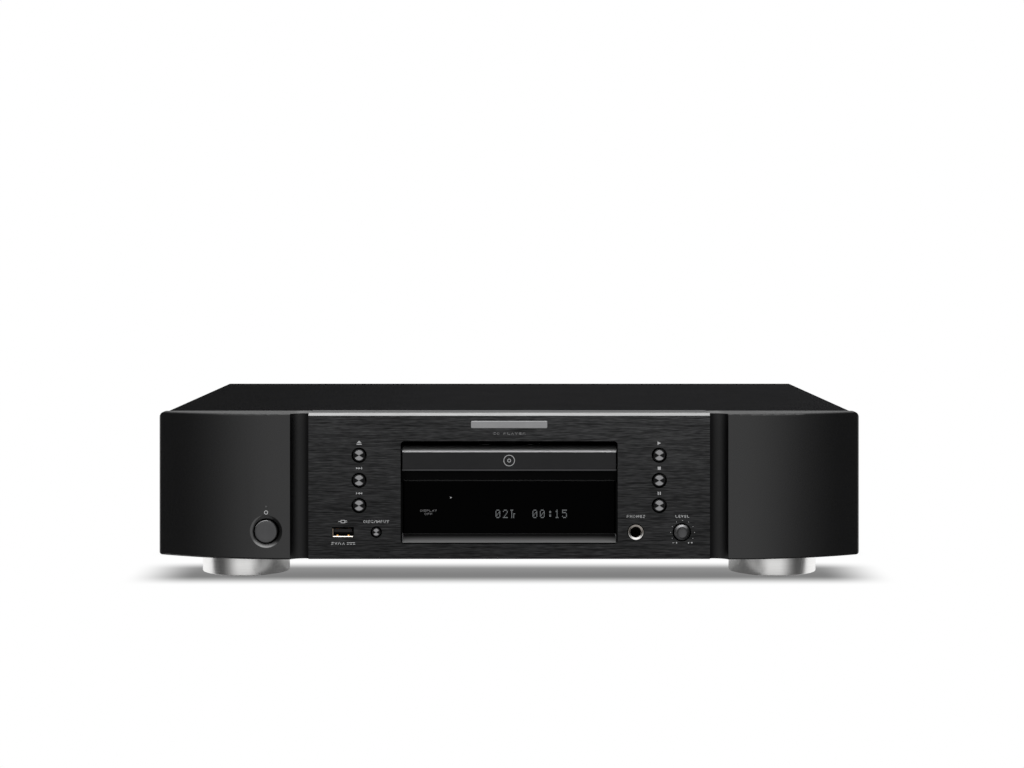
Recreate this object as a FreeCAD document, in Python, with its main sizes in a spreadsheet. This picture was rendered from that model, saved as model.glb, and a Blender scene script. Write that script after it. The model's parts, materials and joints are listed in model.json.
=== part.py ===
import FreeCAD, Part
import math
import os
import Sketcher

# A full-width hi-fi CD player, in millimetres. +Z is up, the front faces -Y, and the origin is on the
# surface it stands on, under the middle of its box. Every size comes from the cells of one spreadsheet.

Vector = FreeCAD.Vector
doc = FreeCAD.newDocument("cd_player")
sheet = doc.addObject("Spreadsheet::Sheet", "dims")
node_objects = {}


# ---------------------------------------------------------------- sizes and formulas

class Size:
    """A number in millimetres or degrees, with the spreadsheet formula that gives it."""

    def __init__(self, value, formula):
        self.value = float(value)
        self.formula = formula

    def __add__(self, other):
        other = as_size(other)
        return Size(self.value + other.value, f"({self.formula} + {other.formula})")

    def __sub__(self, other):
        other = as_size(other)
        return Size(self.value - other.value, f"({self.formula} - {other.formula})")

    def __mul__(self, factor):
        return Size(self.value * factor, f"({self.formula} * {factor})")

    def __truediv__(self, factor):
        return Size(self.value / factor, f"({self.formula} / {factor})")

    def __neg__(self):
        return Size(-self.value, f"(-1 * {self.formula})")

    def __radd__(self, other):
        return as_size(other) + self

    def __rsub__(self, other):
        return as_size(other) - self


def as_size(number):
    return number if isinstance(number, Size) else Size(number, f"({number})")


def plain(number):
    return number.value if isinstance(number, Size) else float(number)


def cell(alias, value):
    """Adds one driving dimension to the spreadsheet."""
    row = f"A{cell.next_row}"
    cell.next_row += 1
    sheet.set(row, str(value))
    sheet.setAlias(row, alias)
    return Size(value, f"dims.{alias}")


cell.next_row = 1


def bind(thing, name, number):
    """Sets a property, and ties it to the spreadsheet where the number has a formula."""
    if isinstance(number, Size):
        thing.setExpression(name, number.formula)
    elif name.startswith("Placement"):
        thing.setExpression(name, str(float(number)))
    else:
        setattr(thing, name, number)


def place(thing, x=0, y=0, z=0, rotation=None):
    base = Vector(plain(x), plain(y), plain(z))
    thing.Placement = FreeCAD.Placement(base, rotation or FreeCAD.Rotation())
    for letter, number in zip("xyz", (x, y, z)):
        if isinstance(number, Size):
            thing.setExpression(f"Placement.Base.{letter}", number.formula)
    return thing


def sub_part(label, thing):
    """Registers an object as one named piece of the player."""
    thing.Label = label
    node_objects[label] = thing
    return thing


# ---------------------------------------------------------------- sketches and features

def new_body(name):
    return doc.addObject("PartDesign::Body", name + "_body")


def new_sketch(body, role, offset=0):
    """A sketch on one of the body's own planes, moved along that plane's normal."""
    sketch = body.newObject("Sketcher::SketchObject", body.Name + "_sketch")
    plane = [f for f in body.Origin.OriginFeatures if f.Role == role][0]
    sketch.AttachmentSupport = [(plane, "")]
    sketch.MapMode = "FlatFace"
    sketch.AttachmentOffset = FreeCAD.Placement(Vector(0, 0, plain(offset)), FreeCAD.Rotation())
    if isinstance(offset, Size):
        sketch.setExpression("AttachmentOffset.Base.z", offset.formula)
    return sketch


def pin_point(sketch, geometry, end, x, y):
    """Fixes one end of a line or arc, or a circle's centre, at x and y from the sketch's origin."""
    for kind, number in (("DistanceX", x), ("DistanceY", y)):
        index = sketch.addConstraint(
            Sketcher.Constraint(kind, -1, 1, geometry, end, plain(number)))
        if isinstance(number, Size):
            sketch.setExpression(f"Constraints[{index}]", number.formula)


def set_radius(sketch, geometry, radius):
    index = sketch.addConstraint(Sketcher.Constraint("Radius", geometry, plain(radius)))
    if isinstance(radius, Size):
        sketch.setExpression(f"Constraints[{index}]", radius.formula)


def add_loop(sketch, points):
    """A closed loop. A point is (x, y), or (x, y, radius, side) when an arc leads to it from the point
    before; side is +1 when the arc turns left on its way and -1 when it turns right."""
    flat = [(plain(p[0]), plain(p[1])) for p in points]
    first = sketch.GeometryCount
    for i, point in enumerate(points):
        start, stop = Vector(*flat[i - 1], 0), Vector(*flat[i], 0)
        if len(point) == 2:
            sketch.addGeometry(Part.LineSegment(start, stop), False)
            continue
        radius, side = plain(point[2]), point[3]
        chord = stop - start
        sag = radius - math.sqrt(radius ** 2 - (chord.Length / 2) ** 2)
        outward = Vector(chord.y, -chord.x, 0).normalize() * side
        sketch.addGeometry(Part.Arc(start, (start + stop) / 2 + outward * sag, stop), False)
    count = len(points)
    for i, point in enumerate(points):
        geometry = first + i
        is_arc = len(point) == 4
        following = points[(i + 1) % count]
        end = end_of(is_arc, is_arc and point[3] < 0, last=True)
        begin = end_of(len(following) == 4, len(following) == 4 and following[3] < 0, last=False)
        sketch.addConstraint(Sketcher.Constraint(
            "Coincident", geometry, end, first + (i + 1) % count, begin))
        pin_point(sketch, geometry, end, point[0], point[1])
        if is_arc:
            set_radius(sketch, geometry, point[2])


def end_of(is_arc, clockwise, last):
    """The Sketcher's number for a curve's first or last point; its arcs always run anticlockwise."""
    if is_arc and clockwise:
        return 1 if last else 2
    return 2 if last else 1


def add_rectangle(sketch, x0, y0, x1, y1):
    add_loop(sketch, [(x0, y0), (x1, y0), (x1, y1), (x0, y1)])


def add_rounded_rectangle(sketch, x0, y0, x1, y1, r):
    add_loop(sketch, [
        (as_size(x0) + r, y0), (as_size(x1) - r, y0),
        (x1, as_size(y0) + r, r, 1), (x1, as_size(y1) - r),
        (as_size(x1) - r, y1, r, 1), (as_size(x0) + r, y1),
        (x0, as_size(y1) - r, r, 1), (x0, as_size(y0) + r),
    ][-1:] + [
        (as_size(x0) + r, y0, r, 1), (as_size(x1) - r, y0),
        (x1, as_size(y0) + r, r, 1), (x1, as_size(y1) - r),
        (as_size(x1) - r, y1, r, 1), (as_size(x0) + r, y1),
        (x0, as_size(y1) - r, r, 1),
    ])


def add_circle(sketch, x, y, radius):
    circle = Part.Circle(Vector(plain(x), plain(y), 0), Vector(0, 0, 1), plain(radius))
    geometry = sketch.addGeometry(circle, False)
    pin_point(sketch, geometry, 3, x, y)
    set_radius(sketch, geometry, radius)


def pad(body, sketch, length, back=False):
    """Adds the sketch's shape, grown along its normal, or against it when back is set."""
    feature = body.newObject("PartDesign::Pad", body.Name + "_pad")
    feature.Profile = sketch
    feature.Reversed = back
    bind(feature, "Length", length)
    finish_feature(body, feature)
    return feature


def pocket(body, sketch, length=None, back=False):
    """Cuts the sketch's shape away, against its normal, or along it when back is set. No length is
    through everything, both ways."""
    before = body.Shape.Volume
    feature = body.newObject("PartDesign::Pocket", body.Name + "_pocket")
    feature.Profile = sketch
    feature.Reversed = back
    if length is None:
        feature.Type = "ThroughAll"
        feature.Midplane = True
    else:
        bind(feature, "Length", length)
    finish_feature(body, feature)
    if body.Shape.Volume > before - 1e-3:
        raise RuntimeError(f"{feature.Name} cuts nothing")
    return feature


def finish_feature(body, feature):
    feature.Profile[0].Visibility = False
    doc.recompute()
    if "Invalid" in feature.State or "Error" in feature.State or body.Shape.isNull():
        raise RuntimeError(f"{feature.Name} failed: {feature.State}")


def edges_where(shape, wanted):
    return [f"Edge{i + 1}" for i, edge in enumerate(shape.Edges) if wanted(edge)]


def dress(body, kind, size, wanted):
    """A fillet or chamfer on every edge of the body that the test picks."""
    tip = body.Tip
    names = edges_where(tip.Shape, wanted)
    if not names:
        raise RuntimeError(f"{body.Name}: no edge for the {kind}")
    feature = body.newObject(f"PartDesign::{kind}", f"{body.Name}_{kind.lower()}")
    feature.Base = (tip, names)
    bind(feature, "Radius" if kind == "Fillet" else "Size", size)
    doc.recompute()
    if "Invalid" in feature.State or feature.Shape.isNull() or not feature.Shape.isValid():
        raise RuntimeError(f"{feature.Name} failed")
    return feature


def turned(name, profile, x=0, y=0, z=0, axis="Z"):
    """A turned piece. The profile's points are (radius, height along the axis)."""
    body = new_body(name)
    sketch = new_sketch(body, "XZ_Plane")
    add_loop(sketch, profile)
    feature = body.newObject("PartDesign::Revolution", name + "_revolution")
    feature.Profile = sketch
    feature.ReferenceAxis = (sketch, ["V_Axis"])
    feature.Angle = 360
    finish_feature(body, feature)
    towards = {"Z": Vector(0, 0, 1), "-Y": Vector(0, -1, 0), "Y": Vector(0, 1, 0),
               "X": Vector(1, 0, 0), "-X": Vector(-1, 0, 0)}[axis]
    return place(body, x, y, z, FreeCAD.Rotation(Vector(0, 0, 1), towards))


def extruded(name, role, points, length, offset=0):
    """A piece of one outline, grown along the plane's normal from the offset."""
    body = new_body(name)
    sketch = new_sketch(body, role, offset)
    add_loop(sketch, points)
    pad(body, sketch, length)
    return body


# ---------------------------------------------------------------- primitives

def box(name, x0, y0, z0, x1, y1, z1):
    solid = doc.addObject("Part::Box", name)
    x0, y0, z0 = as_size(x0), as_size(y0), as_size(z0)
    bind(solid, "Length", as_size(x1) - x0)
    bind(solid, "Width", as_size(y1) - y0)
    bind(solid, "Height", as_size(z1) - z0)
    return place(solid, x0, y0, z0)


def cylinder(name, radius, length, x, y, z, axis="Z"):
    solid = doc.addObject("Part::Cylinder", name)
    bind(solid, "Radius", radius)
    bind(solid, "Height", length)
    towards = {"Z": Vector(0, 0, 1), "-Z": Vector(0, 0, -1), "Y": Vector(0, 1, 0),
               "-Y": Vector(0, -1, 0), "X": Vector(1, 0, 0), "-X": Vector(-1, 0, 0)}[axis]
    return place(solid, x, y, z, FreeCAD.Rotation(Vector(0, 0, 1), towards))


def fused(name, pieces):
    union = doc.addObject("Part::MultiFuse", name)
    union.Shapes = pieces
    union.Refine = True
    return union


def cut(name, base, tools):
    """The base less the tools."""
    result = doc.addObject("Part::Cut", name)
    result.Base = base
    result.Tool = tools[0] if len(tools) == 1 else fused(name + "_tools", tools)
    result.Refine = True
    return result


def copies(name, piece, places):
    """One node that holds a copy of the piece at each place."""
    doc.recompute()
    group = doc.addObject("Part::Feature", name)
    shapes = []
    for x, y, z in places:
        shape = piece.Shape.copy()
        shape.translate(Vector(plain(x), plain(y), plain(z)))
        shapes.append(shape)
    group.Shape = Part.makeCompound(shapes)
    return group


# ---------------------------------------------------------------- driving dimensions

overall_width = cell("overall_width", 440)
overall_height = cell("overall_height", 105)
overall_depth = cell("overall_depth", 341)
knob_reach = cell("knob_reach", 5)
socket_reach = cell("socket_reach", 9)
steel = cell("steel_thickness", 1)
wall = cell("moulding_wall", 2.5)
front_bottom = cell("front_bottom_height", 14.4)
wing_drop = cell("wing_drop", 0.6)
moulding_depth = cell("moulding_depth", 30)
plate_half = cell("plate_half_width", 123.85)
plate_thickness = cell("plate_thickness", 6)
plate_bevel = cell("plate_bevel", 1.6)
wing_start = cell("wing_start", 135.4)
wing_radius = cell("wing_radius", 160)
wing_set_back = cell("wing_set_back", 1)
wing_corner = cell("wing_corner_radius", 3)
front_corner = cell("front_corner_radius", 4.3)
bottom_corner = cell("front_bottom_corner_radius", 2.4)
lid_width = cell("lid_width", 431.6)
lid_gap = cell("lid_drop", 0.7)
pan_height = cell("pan_height", 17)
window_half = cell("window_half_width", 67)
window_bottom = cell("window_bottom", 24.25)
window_top = cell("window_top", 87.75)
window_corner = cell("window_corner_radius", 2.4)
key_column = cell("key_column", 92.6)
key_top = cell("key_top_height", 79)
key_pitch = cell("key_pitch", 15.5)
key_radius = cell("key_radius", 3.75)
key_hole = cell("key_hole_radius", 4.5)
small_key_x = cell("small_key_x", -82)
low_row = cell("low_row_height", 31.6)
small_key_radius = cell("small_key_radius", 2.7)
small_key_hole = cell("small_key_hole_radius", 3.3)
usb_x = cell("usb_x", -102.6)
jack_x = cell("jack_x", 78.1)
jack_bore = cell("jack_bore_radius", 3.25)
knob_x = cell("knob_x", 106.5)
power_x = cell("power_x", -150.2)
power_radius = cell("power_radius", 6.8)
foot_radius = cell("foot_radius", 27.75)
foot_x = cell("foot_x", 168.8)
foot_y = cell("foot_y", 110)
tray_half = cell("tray_half_width", 64)
tray_bottom = cell("tray_bottom", 73)
tray_thickness = cell("tray_thickness", 6)
disc_y = cell("disc_centre_y", -86)
disc_radius = cell("disc_recess_radius", 60.5)
slot_half = cell("slot_half_width", 21)
loader_floor = cell("loader_floor", 53)
loader_inner = cell("loader_inner_half", 65.5)
gear_row_y = cell("gear_row_y", -121)
frame_z = cell("traverse_height", 68)
hinge_y = cell("traverse_hinge_y", 32)
doc.recompute()

face = knob_reach - overall_depth / 2            # y of the fascia plate's front
rear = overall_depth / 2 - socket_reach          # y of the rear panel's outer face
half = overall_width / 2
wing_top = overall_height - wing_drop
lid_top = overall_height - lid_gap
lid_front = face + moulding_depth + 0.1
backing = face + plate_thickness                 # front of the wall behind the plate
backing_rear = backing + 3
clear = 0.1                                      # gap between pieces that only sit together
running = 0.05                                   # radial clearance of a turning shaft


# ---------------------------------------------------------------- front panel

def wing_outline(side, arc_radius, start_x, end_x):
    """The two ends of a wing's curved front, for one side, at one radius."""
    centre_y = face.value + wing_set_back.value + wing_radius.value
    ends = []
    for x in (start_x, end_x):
        run = x.value - wing_start.value
        drop = math.sqrt(arc_radius.value ** 2 - run ** 2)
        formula = (f"({(face + wing_set_back + wing_radius).formula} - sqrt({arc_radius.formula} ^ 2"
                   f" - ({(x - wing_start).formula}) ^ 2))")
        ends.append((x if side > 0 else -x, Size(centre_y - drop, formula)))
    return ends


def make_front_moulding():
    """Both curved wings, the two coves beside the plate and the wall behind it, moulded in one."""
    body = new_body("front_moulding")
    sketch = new_sketch(body, "XY_Plane", front_bottom)
    arc_end = half - wing_corner * 0.452
    right = wing_outline(1, wing_radius, wing_start, arc_end)
    left = wing_outline(-1, wing_radius, wing_start, arc_end)
    corner_y = right[1][1] + wing_corner * 0.8365
    cove_deep = backing + 0.3
    cove_shallow = face + 2.6
    cove_radius = 10
    rear_y = face + moulding_depth
    inner_x = plate_half - 0.2
    add_loop(sketch, [
        (-half, rear_y),
        (-half, corner_y),
        (left[1][0], left[1][1], wing_corner, 1),
        (left[0][0], left[0][1], wing_radius, 1),
        (-wing_start, cove_shallow),
        (-inner_x, cove_deep, cove_radius, -1),
        (-inner_x, backing),
        (inner_x, backing),
        (inner_x, cove_deep),
        (wing_start, cove_shallow, cove_radius, -1),
        (right[0][0], right[0][1]),
        (right[1][0], right[1][1], wing_radius, 1),
        (half, corner_y, wing_corner, 1),
        (half, rear_y),
    ])
    pad(body, sketch, wing_top - front_bottom)

    def long_front_edge(edge):
        middle = edge.BoundBox.Center
        flat = edge.BoundBox.ZLength < 0.01
        in_front = middle.y < rear_y.value - 1 and abs(middle.x) > wing_start.value + 1
        return flat and in_front and edge.BoundBox.XLength > 30

    dress(body, "Fillet", 1.1, long_front_edge)
    # the band behind the plate, a little higher than the wings
    sketch = new_sketch(body, "XY_Plane", wing_top - 1)
    add_rectangle(sketch, -inner_x, backing, inner_x, rear_y)
    pad(body, sketch, wing_drop / 2 + 1)
    # rounded corners, as seen from the front
    sketch = new_sketch(body, "XZ_Plane")
    margin = 20
    add_rectangle(sketch, -half - margin, front_bottom - margin, half + margin, wing_top + margin)
    # the inner loop keeps the raised band, which is narrower than the rounded corners
    r = front_corner
    low_r = bottom_corner
    add_loop(sketch, [
        (-half, front_bottom + low_r),
        (-half + low_r, front_bottom, low_r, 1),
        (half - low_r, front_bottom),
        (half, front_bottom + low_r, low_r, 1),
        (half, wing_top - r),
        (half - r, wing_top, r, 1),
        (plate_half, wing_top),
        (plate_half, wing_top + margin / 2),
        (-plate_half, wing_top + margin / 2),
        (-plate_half, wing_top),
        (-half + r, wing_top),
        (-half, wing_top - r, r, 1),
    ])
    pocket(body, sketch)
    # hollow inside, open at the rear
    sketch = new_sketch(body, "XY_Plane", front_bottom + wall)
    inner_radius = wing_radius - wall
    inner_start = wing_start + wall
    side = lid_width / 2 - 2
    right = wing_outline(1, inner_radius, inner_start, side)
    left = wing_outline(-1, inner_radius, inner_start, side)
    add_loop(sketch, [
        (-side, rear_y + 1),
        left[1],
        (left[0][0], left[0][1], inner_radius, 1),
        (-inner_start, backing_rear),
        (inner_start, backing_rear),
        right[0],
        (right[1][0], right[1][1], inner_radius, 1),
        (side, rear_y + 1),
    ])
    pocket(body, sketch, wing_top - front_bottom - wall * 2, back=True)
    # room for the front feet
    sketch = new_sketch(body, "XY_Plane", front_bottom)
    for x in (-foot_x, foot_x):
        add_circle(sketch, x, -foot_y, foot_radius + 0.5)
    pocket(body, sketch, wall + 0.5, back=True)
    # openings through the backing wall and the left wing
    sketch = new_sketch(body, "XZ_Plane")
    add_rectangle(sketch, -window_half - 1.5, window_bottom - 1.2, window_half + 1.5, window_top + 0.8)
    for x, z, radius in key_places():
        add_circle(sketch, x, z, radius + 0.5)
    add_circle(sketch, jack_x, low_row, 5)
    add_circle(sketch, knob_x, low_row, 5.6)
    add_rectangle(sketch, usb_x - 6.9, low_row - 3.3, usb_x + 6.9, low_row + 3.3)
    add_circle(sketch, power_x, low_row + 0.2, power_radius + 0.3)
    add_circle(sketch, power_x, low_row + 15.4, 0.85)
    pocket(body, sketch)
    # the shallow dish round the power button
    dish = doc.addObject("Part::Cone", "power_dish")
    dish.Radius1 = 10.1
    dish.Radius2 = 7.2
    dish.Height = 1.5
    lead = cylinder("power_dish_lead", 10.1, 3, power_x, face + 1.9, low_row + 0.2, "-Y")
    place(dish, power_x, face + 1.9, low_row + 0.2, FreeCAD.Rotation(Vector(0, 0, 1), Vector(0, 1, 0)))
    return sub_part("front_moulding", cut("front_moulding_cut", body, [dish, lead]))


def key_places():
    """Centre and hole radius of each of the seven keys."""
    rows = [key_top, key_top - key_pitch, key_top - key_pitch * 2]
    places = [(side, z, key_hole) for side in (-key_column, key_column) for z in rows]
    return places + [(small_key_x, low_row, small_key_hole)]


def make_fascia_plate():
    """The brushed aluminium plate, with a bright bevel along its top edge."""
    body = new_body("fascia_plate")
    sketch = new_sketch(body, "XZ_Plane")
    add_rectangle(sketch, -plate_half, front_bottom + 0.6, plate_half, overall_height)
    pad(body, sketch, plate_thickness - clear)
    front = -(plate_thickness.value - clear)

    def top_front(edge):
        box_ = edge.BoundBox
        return box_.XLength > 200 and box_.Center.z > 100 and abs(box_.Center.y - front) < 0.01

    dress(body, "Chamfer", plate_bevel, top_front)
    sketch = new_sketch(body, "XZ_Plane")
    add_rounded_rectangle(sketch, -window_half, window_bottom, window_half, window_top, window_corner)
    for x, z, radius in key_places():
        add_circle(sketch, x, z, radius)
    add_circle(sketch, jack_x, low_row, 4.95)
    add_circle(sketch, knob_x, low_row, 5.5)
    add_rectangle(sketch, usb_x - 6.75, low_row - 3.1, usb_x + 6.75, low_row + 3.1)
    pocket(body, sketch)

    def key_rim(edge):
        box_ = edge.BoundBox
        on_front = abs(box_.Center.y - front) < 0.01 and box_.YLength < 0.01
        return on_front and isinstance(edge.Curve, Part.Circle) and edge.Curve.Radius > 3

    dress(body, "Chamfer", 0.25, key_rim)
    place(body, 0, backing - clear, 0)
    return sub_part("fascia_plate", body)


display_bottom = window_bottom + 4.75
display_top = window_top - 24.65
bar_top = display_top + 5.3


def make_window_bezel():
    """The black frame of the display, with a sloping ledge along the bottom of the window."""
    body = new_body("window_bezel")
    depth = 14
    outer = window_half - 0.1
    base = window_bottom + 0.1
    sketch = new_sketch(body, "XZ_Plane")
    r = window_corner
    add_loop(sketch, [
        (-outer, base + r), (-outer + r, base, r, 1), (outer - r, base), (outer, base + r, r, 1),
        (outer, bar_top), (-outer, bar_top),
    ])
    pad(body, sketch, depth - 0.3)
    sketch = new_sketch(body, "XZ_Plane")
    add_rectangle(sketch, -outer + 1, display_bottom, outer - 1, display_top)
    pocket(body, sketch)
    # the ledge slopes up and back, and the bar above the display stands well behind the plate
    front = -(depth - 0.3)
    sketch = new_sketch(body, "YZ_Plane")
    add_loop(sketch, [(front - 1, base + 0.25), (front + 8.7, display_bottom), (front + 8.7, display_bottom + 1),
                      (front - 1, display_bottom + 1)])
    ledge = pocket(body, sketch, outer * 2 - 2)
    ledge.Midplane = True
    sketch = new_sketch(body, "YZ_Plane")
    add_rectangle(sketch, front - 1, display_top - 1, front + 6.5, bar_top + 1)
    bar = pocket(body, sketch, outer * 2 + 4)
    bar.Midplane = True
    # the flange that is screwed on behind the moulding
    sketch = new_sketch(body, "XZ_Plane")
    add_rectangle(sketch, -outer - 6, base - 6, outer + 6, bar_top)
    add_rectangle(sketch, -outer + 1, display_bottom, outer - 1, display_top)
    pad(body, sketch, 4.8)
    place(body, 0, face + depth, 0)
    return sub_part("window_bezel", body)


def make_display_window():
    """The smoked acrylic in front of the display."""
    body = new_body("display_window")
    outer = window_half - 1.2
    sketch = new_sketch(body, "XZ_Plane")
    add_rectangle(sketch, -outer, display_bottom + 0.1, outer, display_top - 0.1)
    pad(body, sketch, 3)
    dress(body, "Chamfer", 0.7, lambda e: abs(e.BoundBox.Center.y + 3) < 0.01 and e.BoundBox.YLength < 0.01)
    place(body, 0, face + 11.5, 0)
    return sub_part("display_window", body)


def make_badge():
    """A blank nameplate."""
    body = new_body("badge")
    sketch = new_sketch(body, "XZ_Plane")
    add_rounded_rectangle(sketch, -23.8, 95.6, 23.8, 100.2, 1)
    pad(body, sketch, 0.7)
    place(body, 0, face, 0)
    dress(body, "Chamfer", 0.3, lambda e: abs(e.BoundBox.Center.y + 0.7) < 0.01 and e.BoundBox.YLength < 0.01)
    return sub_part("badge", body)


# ---------------------------------------------------------------- casing

def make_chassis_pan():
    """The folded steel base, with foot holes and two rows of vent slots."""
    edge = lid_width / 2 - steel - 0.2
    floor_top = pan_height + steel
    front = lid_front
    back = rear - steel - 0.1
    body = extruded("chassis_pan", "XZ_Plane", [
        (-edge, pan_height), (edge, pan_height), (edge, pan_height + 16), (edge - steel, pan_height + 16),
        (edge - steel, floor_top), (-edge + steel, floor_top), (-edge + steel, pan_height + 16),
        (-edge, pan_height + 16),
    ], back - front)
    place(body, 0, back, 0)
    sketch = new_sketch(body, "XY_Plane", pan_height)
    length = back - front
    for x in (-foot_x, foot_x):
        for y in (-foot_y, foot_y):
            add_circle(sketch, x, y - back, 2)
    pocket(body, sketch)
    for y in (-235, -110):
        sketch = new_sketch(body, "XY_Plane", pan_height)
        slot_left, slot_right = (-66, 66)
        add_rounded_rectangle(sketch, slot_left, y, slot_left + 3, y + 34, 1.4)
        slots = pocket(body, sketch)
        pattern = body.newObject("PartDesign::LinearPattern", "vent_slots")
        pattern.Originals = [slots]
        pattern.Direction = (sketch, ["H_Axis"])
        bind(pattern, "Length", as_size(slot_right - slot_left))
        pattern.Occurrences = 12
        body.Tip = pattern
        doc.recompute()
    sketch = new_sketch(body, "YZ_Plane")
    for y in cover_screw_rows():
        add_circle(sketch, y - back, pan_height + 10, 1.4)
    pocket(body, sketch)
    return sub_part("chassis_pan", body)


def cover_screw_rows():
    return [as_size(-80), as_size(95)]


def make_top_cover():
    """The folded steel lid: a top, two sides and a lip that laps the rear panel."""
    edge = lid_width / 2
    bottom = pan_height + 0.2
    length = rear + 0.1 - lid_front
    body = new_body("top_cover")
    sketch = new_sketch(body, "XZ_Plane")
    bend = 1.6
    add_loop(sketch, [
        (-edge, bottom), (-edge + steel, bottom),
        (-edge + steel, lid_top - bend), (-edge + bend, lid_top - steel, bend - 1, -1),
        (edge - bend, lid_top - steel), (edge - steel, lid_top - bend, bend - 1, -1),
        (edge - steel, bottom), (edge, bottom),
        (edge, lid_top - bend), (edge - bend, lid_top, bend, 1),
        (-edge + bend, lid_top), (-edge, lid_top - bend, bend, 1),
    ])
    pad(body, sketch, length)
    sketch = new_sketch(body, "XZ_Plane")
    add_rectangle(sketch, -edge + 4, lid_top - 12, edge - 4, lid_top - 0.4)
    pad(body, sketch, steel, back=True)
    sketch = new_sketch(body, "XZ_Plane")
    for x in (-190, 0, 190):
        add_circle(sketch, x, lid_top - 7, 1.6)
    pocket(body, sketch, steel * 2, back=False)
    sketch = new_sketch(body, "YZ_Plane")
    for y in cover_screw_rows():
        add_circle(sketch, y - rear - 0.1, pan_height + 10, 1.6)
    pocket(body, sketch)
    place(body, 0, rear + 0.1, 0)
    return sub_part("top_cover", body)


PHONO_PLACES = [(130, 66), (130, 44), (92, 55), (172, 66), (172, 44)]
OPTICAL_PLACE = (62, 55)
INLET_PLACE = (-165, 52)


def make_rear_panel():
    """The steel rear panel, with a cut-out for every socket."""
    edge = lid_width / 2 - steel - 0.2
    body = new_body("rear_panel")
    sketch = new_sketch(body, "XZ_Plane")
    add_rectangle(sketch, -edge, pan_height, edge, lid_top - steel - 0.5)
    pad(body, sketch, steel)
    sketch = new_sketch(body, "XZ_Plane")
    for x, z in PHONO_PLACES:
        add_circle(sketch, x, z, 4.8)
    x, z = OPTICAL_PLACE
    add_rectangle(sketch, x - 6.6, z - 6.6, x + 6.6, z + 6.6)
    x, z = INLET_PLACE
    add_rectangle(sketch, x - 14.2, z - 10.2, x + 14.2, z + 10.2)
    for x in (-190, 0, 190):
        add_circle(sketch, x, lid_top - 7, 1.4)
    pocket(body, sketch)
    sketch = new_sketch(body, "XZ_Plane")
    add_rounded_rectangle(sketch, -90, 26, -87, 50, 1.4)
    vents = pocket(body, sketch)
    pattern = body.newObject("PartDesign::LinearPattern", "rear_vents")
    pattern.Originals = [vents]
    pattern.Direction = (sketch, ["H_Axis"])
    bind(pattern, "Length", as_size(108))
    pattern.Occurrences = 13
    body.Tip = pattern
    doc.recompute()
    place(body, 0, rear, 0)
    return sub_part("rear_panel", body)


def make_feet():
    """Four turned feet, each with a pad let into its underside and a screw up through it."""
    rim = foot_radius
    top = pan_height
    foot = turned("foot", [
        (2.1, 3), (24.5, 3), (24.5, 0.6), (rim - 0.8, 0.6), (rim, 1.4), (rim, top - 1.5), (rim - 1, top - 0.05),
        (2.1, top - 0.05),
    ])
    counterbore = turned("foot_counterbore", [(0.001, 0), (5, 0), (5, 8), (0.001, 8)])
    bored = cut("foot_bored", foot, [counterbore])
    places = [(x, y, 0) for x in (-foot_x, foot_x) for y in (-foot_y, foot_y)]
    sub_part("feet", copies("feet", bored, places))
    foot_pad = turned("foot_pad", [(7, 0), (23.9, 0), (24.3, 0.4), (24.3, 3), (7, 3)])
    sub_part("foot_pads", copies("foot_pads", foot_pad, places))
    screw = turned("base_screw", [(0.001, 5.6), (4.2, 5.6), (4.2, 8), (1.9, 8), (1.9, 23), (0.001, 24)])
    sub_part("base_screws", copies("base_screws", screw, places))


def make_cover_screws():
    """The black screws that hold the lid: two on each side and three along the rear lip."""
    head = [(0.001, -9), (1.3, -8), (1.3, 0), (3.6, 0), (3.6, 1.2), (2.6, 2.2), (0.001, 2.4)]
    doc.recompute()
    shapes = []
    edge = lid_width.value / 2
    for side, axis in ((1, "X"), (-1, "-X")):
        for y in cover_screw_rows():
            screw = turned("side_screw", head, side * edge, y.value, pan_height.value + 10, axis)
            shapes.append(screw.Shape)
    for x in (-190, 0, 190):
        screw = turned("rear_screw", head, x, rear.value + 0.1 + steel.value, lid_top.value - 7, "Y")
        shapes.append(screw.Shape)
    group = doc.addObject("Part::Feature", "cover_screws")
    group.Shape = Part.makeCompound(shapes)
    return sub_part("cover_screws", group)


# ---------------------------------------------------------------- controls on the front

KEY_NAMES = ["eject_button", "skip_forward_button", "skip_back_button",
             "play_button", "stop_button", "pause_button", "disc_input_button"]


def make_keys():
    """Seven keys: a dished cap, a stop flange behind the moulding and a tip that meets the switch."""
    for name, (x, z, hole) in zip(KEY_NAMES, key_places()):
        cap = key_radius if hole is key_hole else small_key_radius
        flange = hole + 1.6
        key = turned(name, [
            (0.001, -16.2), (1.5, -16.2), (1.5, -10.4), (flange, -10.4), (flange, -9.4), (cap, -9.4),
            (cap, 0.7), (cap - 0.5, 1.2), (cap - 0.9, 1.2), (0.001, 0.75),
        ], x, face, z, "-Y")
        sub_part(name, key)


def make_key_switches():
    """Tact switches on the front board, one behind each key."""
    shapes = []
    for x, z, _ in key_places():
        base = Part.makeBox(6, 3.5, 6, Vector(x.value - 3, face.value + 18.5, z.value - 3))
        plunger = Part.makeCylinder(1.7, 1.5, Vector(x.value, face.value + 17, z.value), Vector(0, 1, 0))
        shapes.append(base.fuse(plunger).removeSplitter())
    group = doc.addObject("Part::Feature", "key_switches")
    group.Shape = Part.makeCompound(shapes)
    return sub_part("key_switches", group)


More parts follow.
